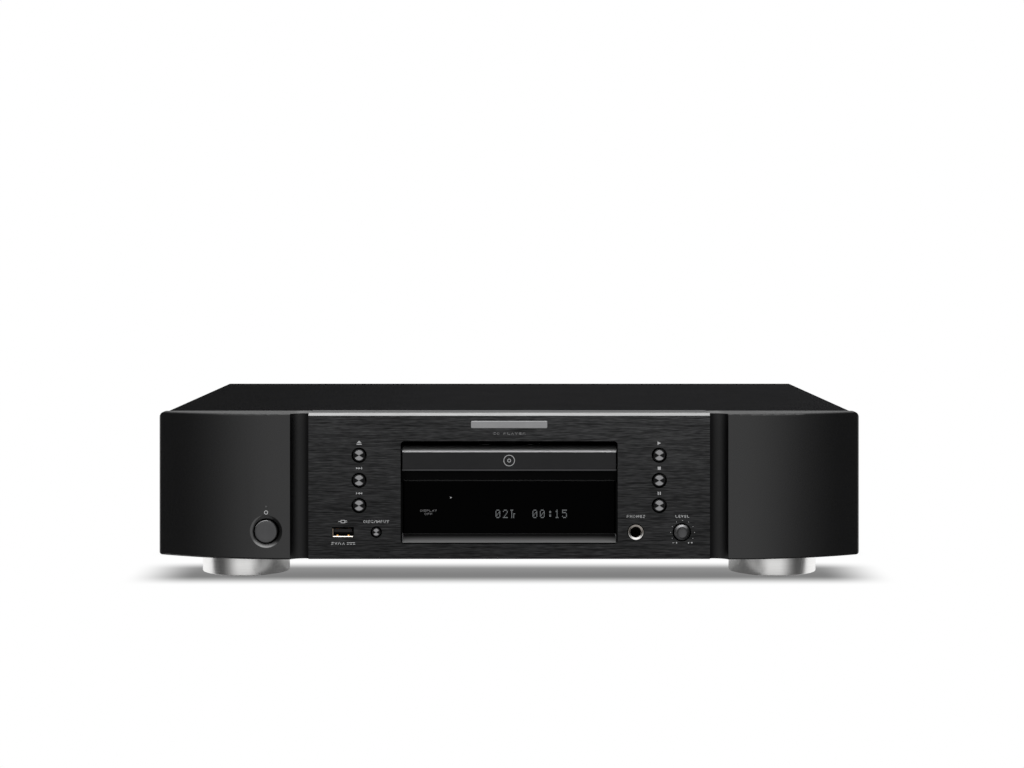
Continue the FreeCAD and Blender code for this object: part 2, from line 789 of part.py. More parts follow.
def make_power_button():
    button = turned("power_button", [
        (0.001, -34), (2.9, -34), (2.9, -8), (8.8, -8), (8.8, -6.6), (power_radius, -6.6),
        (power_radius, -1.1), (power_radius - 0.5, -0.6), (0.001, -0.3),
    ], power_x, face, low_row + 0.2, "-Y")
    sub_part("power_button", button)
    base = box("power_switch_case", power_x - 9, face + 31, low_row - 8.8, power_x + 9, face + 56, low_row + 9.2)
    bore = cylinder("power_switch_bore", 2.9 + running, 8.5, power_x, face + 31, low_row + 0.2, "Y")
    sub_part("power_switch", cut("power_switch_cut", base, [bore]))
    lamp = turned("power_lamp", [(0.001, -12), (0.8, -12), (0.8, -1.9), (0.5, -1.5), (0.001, -1.4)],
                  power_x, face, low_row + 15.4, "-Y")
    sub_part("power_lamp", lamp)


def make_level_control():
    """The headphone level knob, moulded on its shaft, and the control that the shaft turns in."""
    reach = knob_reach
    knob = turned("level_knob", [
        (0.001, -26), (2.95, -26), (2.95, -6.5), (4.7, -6.5), (4.7, 2.6), (4.2, 3.4), (3.3, reach - 0.2),
        (3.0, reach), (0.001, reach - 0.15),
    ], knob_x, face, low_row, "-Y")
    grip = []
    for i in range(24):
        angle = math.radians(15 * i)
        grip.append(cylinder("level_knob_flute", 0.28, 12, knob_x + 4.8 * math.cos(angle), face + 9,
                             low_row + 4.8 * math.sin(angle), "-Y"))
    sub_part("level_knob", cut("level_knob_cut", knob, grip))
    bushing = cylinder("level_bushing", 4.4, 12, knob_x, face + 10, low_row, "Y")
    case = box("level_case", knob_x - 8, face + 23.8, low_row - 9, knob_x + 8, face + 38, low_row + 8)
    neck = cylinder("level_neck", 4.4, 6, knob_x, face + 20, low_row, "Y")
    bore = cylinder("level_bore", 2.95 + running, 20, knob_x, face + 9, low_row, "Y")
    sub_part("level_pot", cut("level_pot_cut", fused("level_pot_fuse", [bushing, case, neck]), [bore]))


def make_headphone_jack():
    ring = turned("jack_ring", [
        (jack_bore, -16), (4.6, -16), (4.6, -0.1), (4.85, -0.1), (4.85, 0.35), (4.55, 0.8), (4.35, 0.8),
        (jack_bore, -0.6),
    ], jack_x, face, low_row, "-Y")
    case = box("jack_case", jack_x - 8, face + 15, low_row - 7.5, jack_x + 8, face + 42, low_row + 7.5)
    bore = cylinder("jack_case_bore", jack_bore, 30, jack_x, face + 9, low_row, "Y")
    body = fused("jack_fuse", [ring, cut("jack_case_cut", case, [bore])])
    sub_part("headphone_jack", body)


def make_usb_port():
    outer = box("usb_outer", usb_x - 6.6, face - 0.15, low_row - 2.95, usb_x + 6.6, face + 16, low_row + 2.95)
    inner = box("usb_inner", usb_x - 6.15, face - 1, low_row - 2.5, usb_x + 6.15, face + 15.2, low_row + 2.5)
    flare = doc.addObject("Part::Wedge", "usb_flare")
    mouth = {"Xmin": -6.55, "Xmax": 6.55, "Zmin": -2.9, "Zmax": 2.9, "Ymin": 0,
             "X2min": -6.15, "X2max": 6.15, "Z2min": -2.5, "Z2max": 2.5, "Ymax": 0.7}
    for side, size in mouth.items():
        bind(flare, side, as_size(size))
    place(flare, usb_x, face - 0.15, low_row)
    sub_part("usb_port", cut("usb_port_cut", outer, [inner, flare]))
    block = box("usb_block", usb_x - 6.05, face + 11.5, low_row - 2.4, usb_x + 6.05, face + 15.1, low_row + 2.4)
    tongue = box("usb_blade", usb_x - 5.5, face + 1.6, low_row - 0.1, usb_x + 5.5, face + 12, low_row + 1.8)
    sub_part("usb_tongue", fused("usb_tongue_fuse", [block, tongue]))


def make_front_board():
    """The key and display board, cut away where the tray passes over it."""
    top = window_top + 1
    body = extruded("front_board", "XZ_Plane", [
        (-118, 21), (118, 21), (118, top), (70, top), (70, 67.4), (-70, 67.4), (-70, top), (-118, top),
    ], 1.6)
    place(body, 0, face + 23.65, 0)
    sketch = new_sketch(body, "XZ_Plane")
    add_circle(sketch, knob_x, low_row, 4.6)
    add_rectangle(sketch, jack_x - 8.3, low_row - 8, jack_x + 8.3, low_row + 8)
    pocket(body, sketch)
    sub_part("front_board", body)
    module = extruded("display_module", "XZ_Plane", [(-46, 33), (46, 33), (46, 60), (-46, 60)], 6)
    dress(module, "Fillet", 1.2, lambda e: e.BoundBox.YLength > 5)
    place(module, 0, face + 20.5, 0)
    sub_part("display_module", module)


# ---------------------------------------------------------------- gears

PRESSURE = math.radians(20)
ADDENDUM = 0.7            # of the module; short teeth, so that small gears need no undercut
DEDENDUM = 0.95
BACKLASH = 0.14


def gear_wire(teeth, module, turn):
    """The outline of an involute gear, with one tooth centred at the angle turn, in degrees."""
    pitch_radius = teeth * module / 2
    base_radius = pitch_radius * math.cos(PRESSURE)
    tip = pitch_radius + ADDENDUM * module
    root = pitch_radius - DEDENDUM * module
    half_tooth = (math.pi * module / 2 - BACKLASH) / 2 / pitch_radius

    def involute(radius):
        roll = math.acos(min(1.0, base_radius / radius))
        return math.tan(roll) - roll

    def half_angle(radius):
        at = max(radius, base_radius)
        return half_tooth + involute(pitch_radius) - involute(at)

    start = max(root, base_radius)
    radii = [root] + [start + (tip - start) * i / 4 for i in range(5)]
    points = []
    for tooth in range(teeth):
        centre = math.radians(turn) + 2 * math.pi * tooth / teeth
        flank = [(r, centre - half_angle(r)) for r in radii]
        flank += [(r, centre + half_angle(r)) for r in reversed(radii)]
        for r, angle in flank:
            point = Vector(r * math.cos(angle), r * math.sin(angle), 0)
            if not points or (point - points[-1]).Length > 1e-4:
                points.append(point)
    return Part.makePolygon(points + [points[0]])


def gear_solid(teeth, module, turn, bottom, height):
    shape = Part.Face(gear_wire(teeth, module, turn)).extrude(Vector(0, 0, height))
    shape.translate(Vector(0, 0, bottom))
    return shape


def rack_solid(module, first, last, phase, pitch_x, back_x, bottom, height):
    """A straight rack along Y with teeth facing x = pitch_x from the side of back_x; a gap is centred at
    y = phase."""
    side = 1 if back_x > pitch_x else -1
    pitch = math.pi * module
    half_tooth = (pitch / 2 - BACKLASH) / 2
    tip_x = pitch_x - side * ADDENDUM * module
    root_x = pitch_x + side * DEDENDUM * module
    tip_half = half_tooth - ADDENDUM * module * math.tan(PRESSURE)
    root_half = half_tooth + DEDENDUM * module * math.tan(PRESSURE)
    count_before = int((phase - first) / pitch)
    points = [Vector(back_x, first, 0), Vector(root_x, first, 0)]
    centre = phase - pitch / 2 - (count_before - 1) * pitch
    while centre + root_half < last:
        if centre - root_half > first:
            points += [Vector(root_x, centre - root_half, 0), Vector(tip_x, centre - tip_half, 0),
                       Vector(tip_x, centre + tip_half, 0), Vector(root_x, centre + root_half, 0)]
        centre += pitch
    points += [Vector(root_x, last, 0), Vector(back_x, last, 0)]
    shape = Part.Face(Part.makePolygon(points + [points[0]])).extrude(Vector(0, 0, height))
    shape.translate(Vector(0, 0, bottom))
    return shape


def stored(name, shape, x=0, y=0):
    """A shape made by formula, kept as a piece at x and y."""
    thing = doc.addObject("Part::Feature", name)
    thing.Shape = shape
    at = FreeCAD.Placement(Vector(plain(x), plain(y), 0), FreeCAD.Rotation())
    thing.Placement = at.multiply(shape.Placement)
    return sub_part(name, thing)


def disc_shape(radius, bottom, top):
    return Part.makeCylinder(radius, top - bottom, Vector(0, 0, bottom))


# ---------------------------------------------------------------- loading mechanism

TRAY_GEAR_TEETH = 24
PINION_TEETH = 12
TRAY_MODULE = 1.0
TRAY_GEAR_X = 40.0
POST_RADIUS = 1.5
MOTOR_X = -14.0
PULLEY_GROOVE = 12.4
MOTOR_PULLEY_GROOVE = 3.0
BELT_HALF = 0.6
PINION_X = TRAY_GEAR_X - (TRAY_GEAR_TEETH + PINION_TEETH) * TRAY_MODULE / 2


def make_loader_chassis():
    """The tray's frame: floor, side rails, gear posts and the bosses of the traverse's hinge."""
    front, back = -137, 40
    floor_top = loader_floor + 2
    outer = loader_inner + 3
    wall_top = tray_bottom + 9
    pieces = [box("loader_floor", -outer, front, loader_floor, outer, back, floor_top)]
    for side in (-1, 1):
        near, far = (loader_inner, outer) if side > 0 else (-outer, -loader_inner)
        pieces.append(box("loader_wall", near, front, loader_floor, far, back, wall_top))
        near, far = (loader_inner - 3.5, loader_inner) if side > 0 else (-loader_inner, -loader_inner + 3.5)
        pieces.append(box("loader_rail", near, front, tray_bottom - 2, far, back, tray_bottom - 0.1))
        near, far = (loader_inner - 2.5, loader_inner) if side > 0 else (-loader_inner, -loader_inner + 2.5)
        for y in (front, -20):
            rim = tray_bottom + tray_thickness
            pieces.append(box("loader_guide", near, y, rim + 0.2, far, y + 12, rim + 1.5))
        for y in (-116, 14):
            near, far = (outer - 0.5, outer + 12) if side > 0 else (-outer - 12, -outer + 0.5)
            pieces.append(box("loader_ear", near, y, loader_floor, far, y + 12, loader_floor + 2.5))
    for x in (TRAY_GEAR_X, PINION_X):
        height = 17.4 if x == TRAY_GEAR_X else 12.8
        pieces.append(cylinder("loader_post", POST_RADIUS, height, x, gear_row_y, floor_top - 0.2))
    for x in (-57.5, 31.5):
        pieces.append(box("hinge_boss", x, hinge_y - 4, floor_top - 0.2, x + 4, hinge_y + 4, frame_z + 4.3))
    tools = [
        box("loader_opening", -60, -103.5, loader_floor - 1, 40, 24, floor_top + 1),
        cylinder("loader_motor_hole", 3.2, 6, MOTOR_X, gear_row_y, loader_floor - 1),
        cylinder("hinge_bore", 2 + running, 100, -60, hinge_y, frame_z + 1, "X"),
    ]
    for x in (-loader_inner - 9.5, loader_inner + 9.5):
        for y in (-110, 20):
            tools.append(cylinder("ear_hole", 1.6, 8, x, y, loader_floor - 2))
    sub_part("loader_chassis", cut("loader_chassis_cut", fused("loader_fuse", pieces), tools))
    return wall_top


def make_tray():
    """The disc tray, with its 120 mm and 80 mm recesses, the slot for the pickup and the drive rack."""
    front, back = -158, 30
    rim = tray_bottom + tray_thickness
    body = new_body("disc_tray")
    sketch = new_sketch(body, "XY_Plane", tray_bottom)
    add_rectangle(sketch, -tray_half, front, tray_half, back)
    pad(body, sketch, tray_thickness)
    sketch = new_sketch(body, "XY_Plane", rim)
    add_circle(sketch, 0, disc_y, disc_radius)
    pocket(body, sketch, 3)
    sketch = new_sketch(body, "XY_Plane", rim)
    add_circle(sketch, 0, disc_y, 40.5)
    pocket(body, sketch, 4)
    sketch = new_sketch(body, "XY_Plane", rim)
    add_loop(sketch, [(-slot_half, disc_y), (slot_half, disc_y, slot_half + 0.001, 1), (slot_half, back + 1),
                      (-slot_half, back + 1)])
    pocket(body, sketch)
    dress(body, "Fillet", 0.6, lambda e: abs(e.BoundBox.Center.z - rim.value) < 0.01
          and e.BoundBox.ZLength < 0.01 and isinstance(e.Curve, Part.Circle) and e.Curve.Radius > 50)
    rack = doc.addObject("Part::Feature", "tray_rack")
    rack.Shape = rack_solid(TRAY_MODULE, -132, 28, gear_row_y.value,
                            TRAY_GEAR_X + TRAY_GEAR_TEETH * TRAY_MODULE / 2, 56, tray_bottom.value - 4, 4.2)
    sub_part("disc_tray", fused("disc_tray_fuse", [body, rack]))


def make_tray_front():
    """The tray's front: a sloping top, a bright line, a flat face and a small lower bevel."""
    side = window_half - 0.85
    low, high = (window_bottom + 44.95, window_bottom + 60.55)
    y0 = face + 1.5
    body = extruded("tray_front", "YZ_Plane", [
        (y0, low + 1.3), (y0 + 0.9, low), (y0 + 6, low), (y0 + 6, high), (y0 + 3.6, high),
        (y0 + 1.1, high - 2.7), (y0, high - 3.9),
    ], side * 2, -side)
    dress(body, "Fillet", 0.4, lambda e: e.BoundBox.XLength < 0.01
          and e.BoundBox.Center.y < (y0 + 1).value and e.BoundBox.ZLength > 5)
    return sub_part("tray_front", body)


def make_gear_train():
    """Loading motor, belt, pulley gear and the gear that drives the tray's rack."""
    mid_y = gear_row_y.value
    gear = gear_solid(TRAY_GEAR_TEETH, TRAY_MODULE, 0, 61, 11.6)
    gear = gear.fuse(disc_shape(3.2, 55.1, 61)).cut(disc_shape(POST_RADIUS + running, 50, 80))
    stored("tray_gear", gear, TRAY_GEAR_X, mid_y)
    turn = 180.0 / PINION_TEETH
    pinion = gear_solid(PINION_TEETH, TRAY_MODULE, turn, 59.6, 8.2)
    pulley = disc_shape(13.4, 56, 59.6).cut(
        disc_shape(20, 57, 58.6).cut(disc_shape(PULLEY_GROOVE, 57, 58.6)))
    pulley = pinion.fuse(pulley).fuse(disc_shape(3, 55.1, 56)).cut(disc_shape(POST_RADIUS + running, 50, 80))
    stored("pulley_gear", pulley, PINION_X, mid_y)
    small = disc_shape(4.4, 56, 59.6).cut(
        disc_shape(20, 57, 58.6).cut(disc_shape(MOTOR_PULLEY_GROOVE, 57, 58.6)))
    small = small.fuse(disc_shape(1, 47, 60))
    stored("motor_pulley", small, MOTOR_X, mid_y)
    motor = turned("loading_motor", [
        (1 + running, 52.9), (3, 52.9), (3, 52.6), (10.6, 52.6), (12, 51.4), (12, 38), (11, 37), (0.001, 37),
        (0.001, 46.8), (1 + running, 46.8),
    ], MOTOR_X, gear_row_y, 0)
    sub_part("loading_motor", motor)
    large_r, small_r = PULLEY_GROOVE + BELT_HALF + 0.05, MOTOR_PULLEY_GROOVE + BELT_HALF + 0.05
    span = PINION_X - MOTOR_X
    lean = math.asin((large_r - small_r) / span)
    outer = belt_face(large_r + BELT_HALF, small_r + BELT_HALF, span, lean)
    inner = belt_face(large_r - BELT_HALF, small_r - BELT_HALF, span, lean)
    belt = outer.cut(inner).extrude(Vector(0, 0, 1.2))
    belt.translate(Vector(0, 0, 57.2))
    stored("loading_belt", belt, MOTOR_X, mid_y)


def belt_face(large_r, small_r, span, lean):
    """The area inside a belt's loop: the motor pulley at the origin, the large pulley at x = span."""
    def on(radius, centre_x, angle):
        return Vector(centre_x + radius * math.cos(angle), radius * math.sin(angle), 0)
    up = math.pi / 2 + lean
    a, b = on(small_r, 0, up), on(large_r, span, up)
    c, d = on(large_r, span, -up), on(small_r, 0, -up)
    edges = [Part.makeLine(a, b), Part.Arc(b, on(large_r, span, 0), c).toShape(),
             Part.makeLine(c, d), Part.Arc(d, on(small_r, 0, math.pi), a).toShape()]
    return Part.Face(Part.Wire(edges))


def make_clamp():
    """The bridge over the tray, and the puck that turns with the disc."""
    outer = loader_inner + 3
    low = tray_bottom + 9
    bar = box("clamp_bar", -outer, disc_y - 18, low + 2.5, outer, disc_y + 18, low + 4)
    legs = [box("clamp_leg", s, disc_y - 18, low, e, disc_y + 18, low + 2.6)
            for s, e in ((-outer, -outer + 3), (outer - 3, outer))]
    hole = cylinder("clamp_hole", 12.8, 6, 0, disc_y, low)
    sub_part("clamp_bridge", cut("clamp_bridge_cut", fused("clamp_fuse", [bar, *legs]), [hole]))
    puck = turned("clamp_puck", [
        (8.6, -2.4), (12.2, -2.4), (12.2, 4.3), (15, 4.3), (15, 5.8), (4, 6.6), (0.001, 6.6), (0.001, 0.8),
        (8.6, 0.8),
    ], 0, disc_y, low)
    sub_part("clamp_puck", puck)


def make_cam_slider():
    """The slider whose sloping slot lifts and lowers the traverse by its pin."""
    low, high = (55.3, 72.4)
    body = extruded("cam_slider", "XZ_Plane", [(-58, low), (4, low), (4, high), (-58, high)], 2)
    sketch = new_sketch(body, "XZ_Plane")
    top_x, top_z = CAM_PIN_X, frame_z.value + 1
    run, drop = CAM_TRAVEL, CAM_DROP
    length = math.hypot(run, drop)
    nx, nz = drop / length * CAM_SLOT_HALF, -run / length * CAM_SLOT_HALF
    end_x, end_z = top_x - run, top_z - drop
    add_loop(sketch, [
        (top_x - nx, top_z - nz), (end_x - nx, end_z - nz),
        (end_x + nx, end_z + nz, CAM_SLOT_HALF + 0.0005, 1), (top_x + nx, top_z + nz),
    ][:3] + [(top_x + nx, top_z + nz)])
    pocket(body, sketch)
    tip = new_sketch(body, "XZ_Plane")
    add_circle(tip, top_x, top_z, CAM_SLOT_HALF)
    pocket(body, tip)
    place(body, 0, -104.5, 0)
    return sub_part("cam_slider", body)


CAM_PIN_X = -20.0
CAM_TRAVEL = 24.0
TILT = math.radians(4.5)
CAM_SLOT_HALF = 1.8
CAM_DROP = 137.5 * math.sin(TILT)


# ---------------------------------------------------------------- traverse: spindle and pickup

ROD_PLACES = (-29.0, 15.0)
ROD_Z = 64.0
ROD_RADIUS = 1.5
SLED_MODULE = 0.8
SLED_RACK_X = -36.0
SLED_GEAR_Y = -42.0
SLED_GEAR_X = SLED_RACK_X - PINION_TEETH * SLED_MODULE / 2
SLED_WHEEL_TEETH = 36
SLED_MOTOR_X = -46.0


def sled_motor_y():
    reach = (SLED_WHEEL_TEETH + PINION_TEETH) * SLED_MODULE / 2
    return SLED_GEAR_Y + math.sqrt(reach ** 2 - (SLED_MOTOR_X - SLED_GEAR_X) ** 2)


def make_traverse_frame():
    """The plate that carries the spindle motor and the pickup, hinged at its rear."""
    body = new_body("traverse_frame")
    sketch = new_sketch(body, "XY_Plane", frame_z)
    add_loop(sketch, [(-50, -60), (-34, -102), (26, -102), (26, 34), (-50, 34)])
    pad(body, sketch, 2)
    sketch = new_sketch(body, "XY_Plane", frame_z)
    add_rectangle(sketch, -20, -73.6, 16, -8)
    add_circle(sketch, 0, disc_y, 2.5)
    add_rectangle(sketch, -20, 2, 16, 22)
    pocket(body, sketch)
    pieces = [body]
    for x in ROD_PLACES:
        for y in (-80, -7):
            pieces.append(box("rod_lug", x - 3, y, 61, x + 3, y + 3, frame_z + 0.2))
    pieces.append(cylinder("sled_gear_post", POST_RADIUS, 11.2, SLED_GEAR_X, SLED_GEAR_Y, frame_z + 0.2, "-Z"))
    pieces.append(cylinder("hinge_pin_left", 2, 9, -49, hinge_y, frame_z + 1, "-X"))
    pieces.append(cylinder("hinge_pin_right", 2, 11, 25, hinge_y, frame_z + 1, "X"))
    pieces.append(cylinder("cam_pin", POST_RADIUS, 6, CAM_PIN_X, -101, frame_z + 1, "-Y"))
    rods = [cylinder("rod_seat", ROD_RADIUS + 0.02, 80, x, -82, ROD_Z, "Y") for x in ROD_PLACES]
    sub_part("traverse_frame", cut("traverse_cut", fused("traverse_fuse", pieces), rods))


def make_spindle():
    motor = turned("spindle_motor", [
        (1.25 + running, 67.9), (10.5, 67.9), (11.5, 66.9), (11.5, 60), (10.8, 59.3), (0.001, 59.3),
        (0.001, 62), (1.25 + running, 62),
    ], 0, disc_y, 0)
    sub_part("spindle_motor", motor)
    hub = turned("turntable_hub", [
        (0.001, 62.5), (1.25, 62.5), (1.25, 70.6), (5, 70.6), (5, 75.8), (15, 75.8), (15, 77.9), (14.6, 78.3),
        (7.4, 78.3), (7.2, 80), (5.8, 81), (0.001, 81),
    ], 0, disc_y, 0)
    sub_part("turntable_hub", hub)


def make_pickup():
    """The sled with its rack, the objective lens and the two rods it slides on."""
    sled = Part.makeBox(52, 26, 7.1, Vector(-33, -73, 60.5))
    sled = sled.fuse(Part.makeBox(24, 23, 7.6, Vector(-12, -72, 67.4)))
    sled = sled.fuse(rack_solid(SLED_MODULE, -78, -40, SLED_GEAR_Y, SLED_RACK_X, -32.9, 61, 3))
    for x in ROD_PLACES:
        bore = Part.makeCylinder(ROD_RADIUS + running, 60, Vector(x, -90, ROD_Z), Vector(0, 1, 0))
        sled = sled.cut(bore)
    sled = sled.cut(Part.makeCylinder(3.5, 4, Vector(0, -61, 72)))
    for x, y in ((-12, -72), (12, -72), (-12, -49), (12, -49)):
        corner = Part.makeBox(4, 4, 12, Vector(x - 2, y - 2, 68))
        corner.rotate(Vector(x, y, 68), Vector(0, 0, 1), 45)
        sled = sled.cut(corner)
    stored("pickup_sled", sled.removeSplitter())
    lens = turned("objective_lens", [
        (0.001, 73.4), (3.1, 73.4), (3.1, 75.3), (2.2, 75.3), (1.9, 75.7), (0.001, 76),
    ], 0, -61, 0)
    sub_part("objective_lens", lens)
    rods = [cylinder("rod", ROD_RADIUS, 78.6, x, -81.5, ROD_Z, "Y") for x in ROD_PLACES]
    sub_part("guide_rods", fused("guide_rods_fuse", rods))


def make_sled_drive():
    motor_y = sled_motor_y()
    towards = math.degrees(math.atan2(motor_y - SLED_GEAR_Y, SLED_MOTOR_X - SLED_GEAR_X))
    bore = disc_shape(POST_RADIUS + running, 50, 80)
    gear = gear_solid(PINION_TEETH, SLED_MODULE, 0, 60.2, 4.4)
    gear = gear.fuse(gear_solid(SLED_WHEEL_TEETH, SLED_MODULE, towards, 57.8, 1.9))
    gear = gear.fuse(disc_shape(3, 59.6, 60.3)).cut(bore)
    stored("sled_gear", gear, SLED_GEAR_X, SLED_GEAR_Y)
    pinion = gear_solid(PINION_TEETH, SLED_MODULE, towards + 180 + 180 / PINION_TEETH, 57.6, 2.3)
    pinion = pinion.fuse(disc_shape(0.9, 57.6, 64))
    stored("sled_pinion", pinion, SLED_MOTOR_X, motor_y)
    motor = turned("sled_motor", [
        (0.9 + running, 60.6), (7.6, 60.6), (8.5, 61.5), (8.5, 67.9), (0.001, 67.9), (0.001, 64.4),
        (0.9 + running, 64.4),
    ], SLED_MOTOR_X, motor_y, 0)
    sub_part("sled_motor", motor)


def make_mech_mounts():
    """Two folded brackets on the pan, and a rubber bush under each ear of the loader."""
    pieces = []
    outer = loader_inner + 3
    top = loader_floor - 3
    for side in (-1, 1):
        def at(x):
            return x if side > 0 else -x
        points = [(at(outer + 1), top), (at(outer + 12), top), (at(outer + 12), pan_height + 1.1 + steel),
                  (at(outer + 24), pan_height + 1.1 + steel), (at(outer + 24), pan_height + 0.1 + steel),
                  (at(outer + 11), pan_height + 0.1 + steel), (at(outer + 11), top - 1), (at(outer + 1), top - 1)]
        body = extruded("mech_bracket", "XZ_Plane", points if side < 0 else points[::-1], 150)
        pieces.append(place(body, 0, 32, 0))
    holes = [cylinder("bracket_hole", 1.6, 6, x, y, top - 3)
             for x in (-outer - 6.5, outer + 6.5) for y in (-110, 20)]
    sub_part("mech_brackets", cut("mech_brackets_cut", fused("mech_brackets_fuse", pieces), holes))
    bush = turned("mech_damper", [(1.6, 0.05), (3.6, 0.05), (4.1, 1.5), (3.6, 2.95), (1.6, 2.95)])
    places = [(x, y, top) for x in (-outer - 6.5, outer + 6.5) for y in (-110, 20)]
    sub_part("mech_dampers", copies("mech_dampers", bush, places))


# ---------------------------------------------------------------- power, boards and sockets

def make_transformer():
    """A laminated core with its winding through the two windows."""
    floor = pan_height + steel + 0.1
    x, y = (-150, 10)
    core = box("core_block", x - 36, y - 20, floor + 2, x + 36, y + 20, floor + 62)
    feet = box("core_feet", x - 46, y - 20, floor, x + 46, y + 20, floor + 2.2)
    windows = [box("core_window", x + s, y - 25, floor + 14, x + s + 12, y + 25, floor + 50) for s in (-24, 12)]
    holes = [cylinder("core_hole", 2.2, 8, x + s, y, floor - 2) for s in (-41, 41)]
    sub_part("transformer_core", cut("core_cut", fused("core_fuse", [core, feet]), windows + holes))
    coil = box("coil_block", x - 23.5, y - 32, floor + 14.5, x + 23.5, y + 32, floor + 49.5)
    leg = box("coil_leg", x - 12.2, y - 40, floor + 13, x + 12.2, y + 40, floor + 51)
    ends = [box("coil_end", x - 13, y + s, floor + 14.5, x + 13, y + s + 11.5, floor + 49.5)
            for s in (-32, 20.5)]
    sub_part("transformer_coil", fused("coil_fuse", [cut("coil_cut", coil, [leg]), *ends]))


BOARD_Z = 30.0


def make_main_board():
    board = box("board_plate", 88, -100, BOARD_Z, 206, 158, BOARD_Z + 1.6)
    posts = [cylinder("board_post", 3, BOARD_Z - 18.05, x, y, 18.1) for x in (102, 200) for y in (-94, 30, 150)]
    holes = [cylinder("board_hole", 1.5, 16, x, y, 19) for x in (102, 200) for y in (-94, 30, 150)]
    sub_part("main_board", cut("main_board_cut", fused("main_board_fuse", [board, *posts]), holes))


def make_board_components():
    """Capacitors, chips, a heat sink and film capacitors on the main board."""
    top = BOARD_Z + 1.65
    shapes = []
    for x, y, radius, height in ((185, -70, 9, 30), (165, -70, 9, 30), (185, -48, 9, 30), (165, -48, 9, 30)):
        shapes.append(capacitor(x, y, top, radius, height))
    for row in range(2):
        for column in range(5):
            shapes.append(capacitor(112 + row * 60, 20 + column * 16, top, 5, 12))
    for x, y, length, width in ((125, -20, 14, 14), (150, 10, 10, 10), (140, 60, 18, 8), (140, 90, 18, 8)):
        shapes.append(Part.makeBox(length, width, 1.8, Vector(x, y, top)))
    for row in range(4):
        shapes.append(Part.makeBox(12, 4, 9, Vector(138, 106 + 8 * row, top)))
    sink = Part.makeBox(34, 3, 32, Vector(110, -84, top))
    for fin in range(6):
        sink = sink.fuse(Part.makeBox(1.6, 12, 32, Vector(110 + fin * 6.48, -81.5, top)))
    shapes.append(sink.removeSplitter())
    group = doc.addObject("Part::Feature", "board_components")
    group.Shape = Part.makeCompound(shapes)
    sub_part("board_components", group)


def capacitor(x, y, z, radius, height):
    can = Part.makeCylinder(radius, height, Vector(x, y, z))
    return can.makeFillet(0.8, [e for e in can.Edges if abs(e.BoundBox.Center.z - z - height) < 0.01
                                and e.BoundBox.ZLength < 0.01])


def make_rear_sockets():
    """Five phono sockets, the optical output with its shutter, and the mains inlet."""
    reach = socket_reach
    panel = steel + 0.05
    phono = turned("phono", [
        (1.6, reach), (3.9, reach), (4.15, reach - 0.3), (4.15, 0.9), (6, 0.9), (6, 0.05), (4.5, 0.05),
        (4.5, -panel), (6.2, -panel), (6.2, -14), (1.6, -14),
    ], 0, rear, 0, "Y")
    places = [(x, 0, z) for x, z in PHONO_PLACES]
    sub_part("phono_sockets", copies("phono_sockets", phono, places))

    x, z = OPTICAL_PLACE
    case = box("optical_case", x - 6.4, rear - 16, z - 6.4, x + 6.4, rear + 3.3, z + 6.4)
    lip = box("optical_lip", x - 7.6, rear + 0.05, z - 7.6, x + 7.6, rear + 1.2, z + 7.6)
    cavity = box("optical_cavity", x - 4.7, rear - 10.5, z - 4.7, x + 4.7, rear + 4, z + 4.7)
    sub_part("optical_socket", cut("optical_cut", fused("optical_fuse", [case, lip]), [cavity]))
    sub_part("optical_shutter", box("optical_flap", x - 4.4, rear + 1.7, z - 4.4, x + 4.4, rear + 2.5, z + 4.45))

    x, z = INLET_PLACE
    case = box("inlet_case", x - 14, rear - 22, z - 10, x + 14, rear + 2.2, z + 10)
    flange = box("inlet_flange", x - 16, rear + 0.05, z - 12, x + 16, rear + 2.2, z + 12)
    cavity = extruded("inlet_cavity", "XZ_Plane", [
        (x - 12, z - 8), (x + 12, z - 8), (x + 12, z + 4), (x + 8, z + 8), (x - 8, z + 8), (x - 12, z + 4),
    ], 19)
    place(cavity, 0, rear + 3, 0)
    blades = [box("inlet_blade", x + s - 1, rear - 17, z - 2, x + s + 1, rear - 3, z + 2) for s in (-7, 7)]
    shell = cut("inlet_shell", fused("inlet_fuse", [case, flange]), [cavity])
    sub_part("ac_inlet", fused("ac_inlet_fuse", [shell, *blades]))


# ---------------------------------------------------------------- build and export

make_front_moulding()
make_fascia_plate()
make_window_bezel()
make_display_window()
make_badge()
make_chassis_pan()
make_top_cover()
make_rear_panel()
make_feet()
make_cover_screws()
make_keys()
make_key_switches()
make_power_button()
make_level_control()
make_headphone_jack()
make_usb_port()
make_front_board()
make_loader_chassis()
make_tray()
make_tray_front()
make_gear_train()
make_clamp()
make_cam_slider()
make_traverse_frame()
make_spindle()
make_pickup()
make_sled_drive()
make_mech_mounts()
make_transformer()
make_main_board()
make_board_components()
make_rear_sockets()
doc.recompute()

os.makedirs("parts", exist_ok=True)
for thing in doc.Objects:
    if "Invalid" in thing.State or "Error" in thing.State:
        raise RuntimeError(f"{thing.Name} ({thing.Label}) is {thing.State}")
for label, thing in node_objects.items():
    shape = thing.Shape
    if shape.isNull() or not shape.isValid() or not shape.Solids:
        raise RuntimeError(f"{label} has no valid solid")
for label, thing in sorted(node_objects.items()):
    thing.Shape.exportStep(os.path.join("parts", label + ".step"))
print(len(node_objects), "nodes")
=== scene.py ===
import json
import math

import bmesh
import bpy
from mathutils import Matrix, Vector


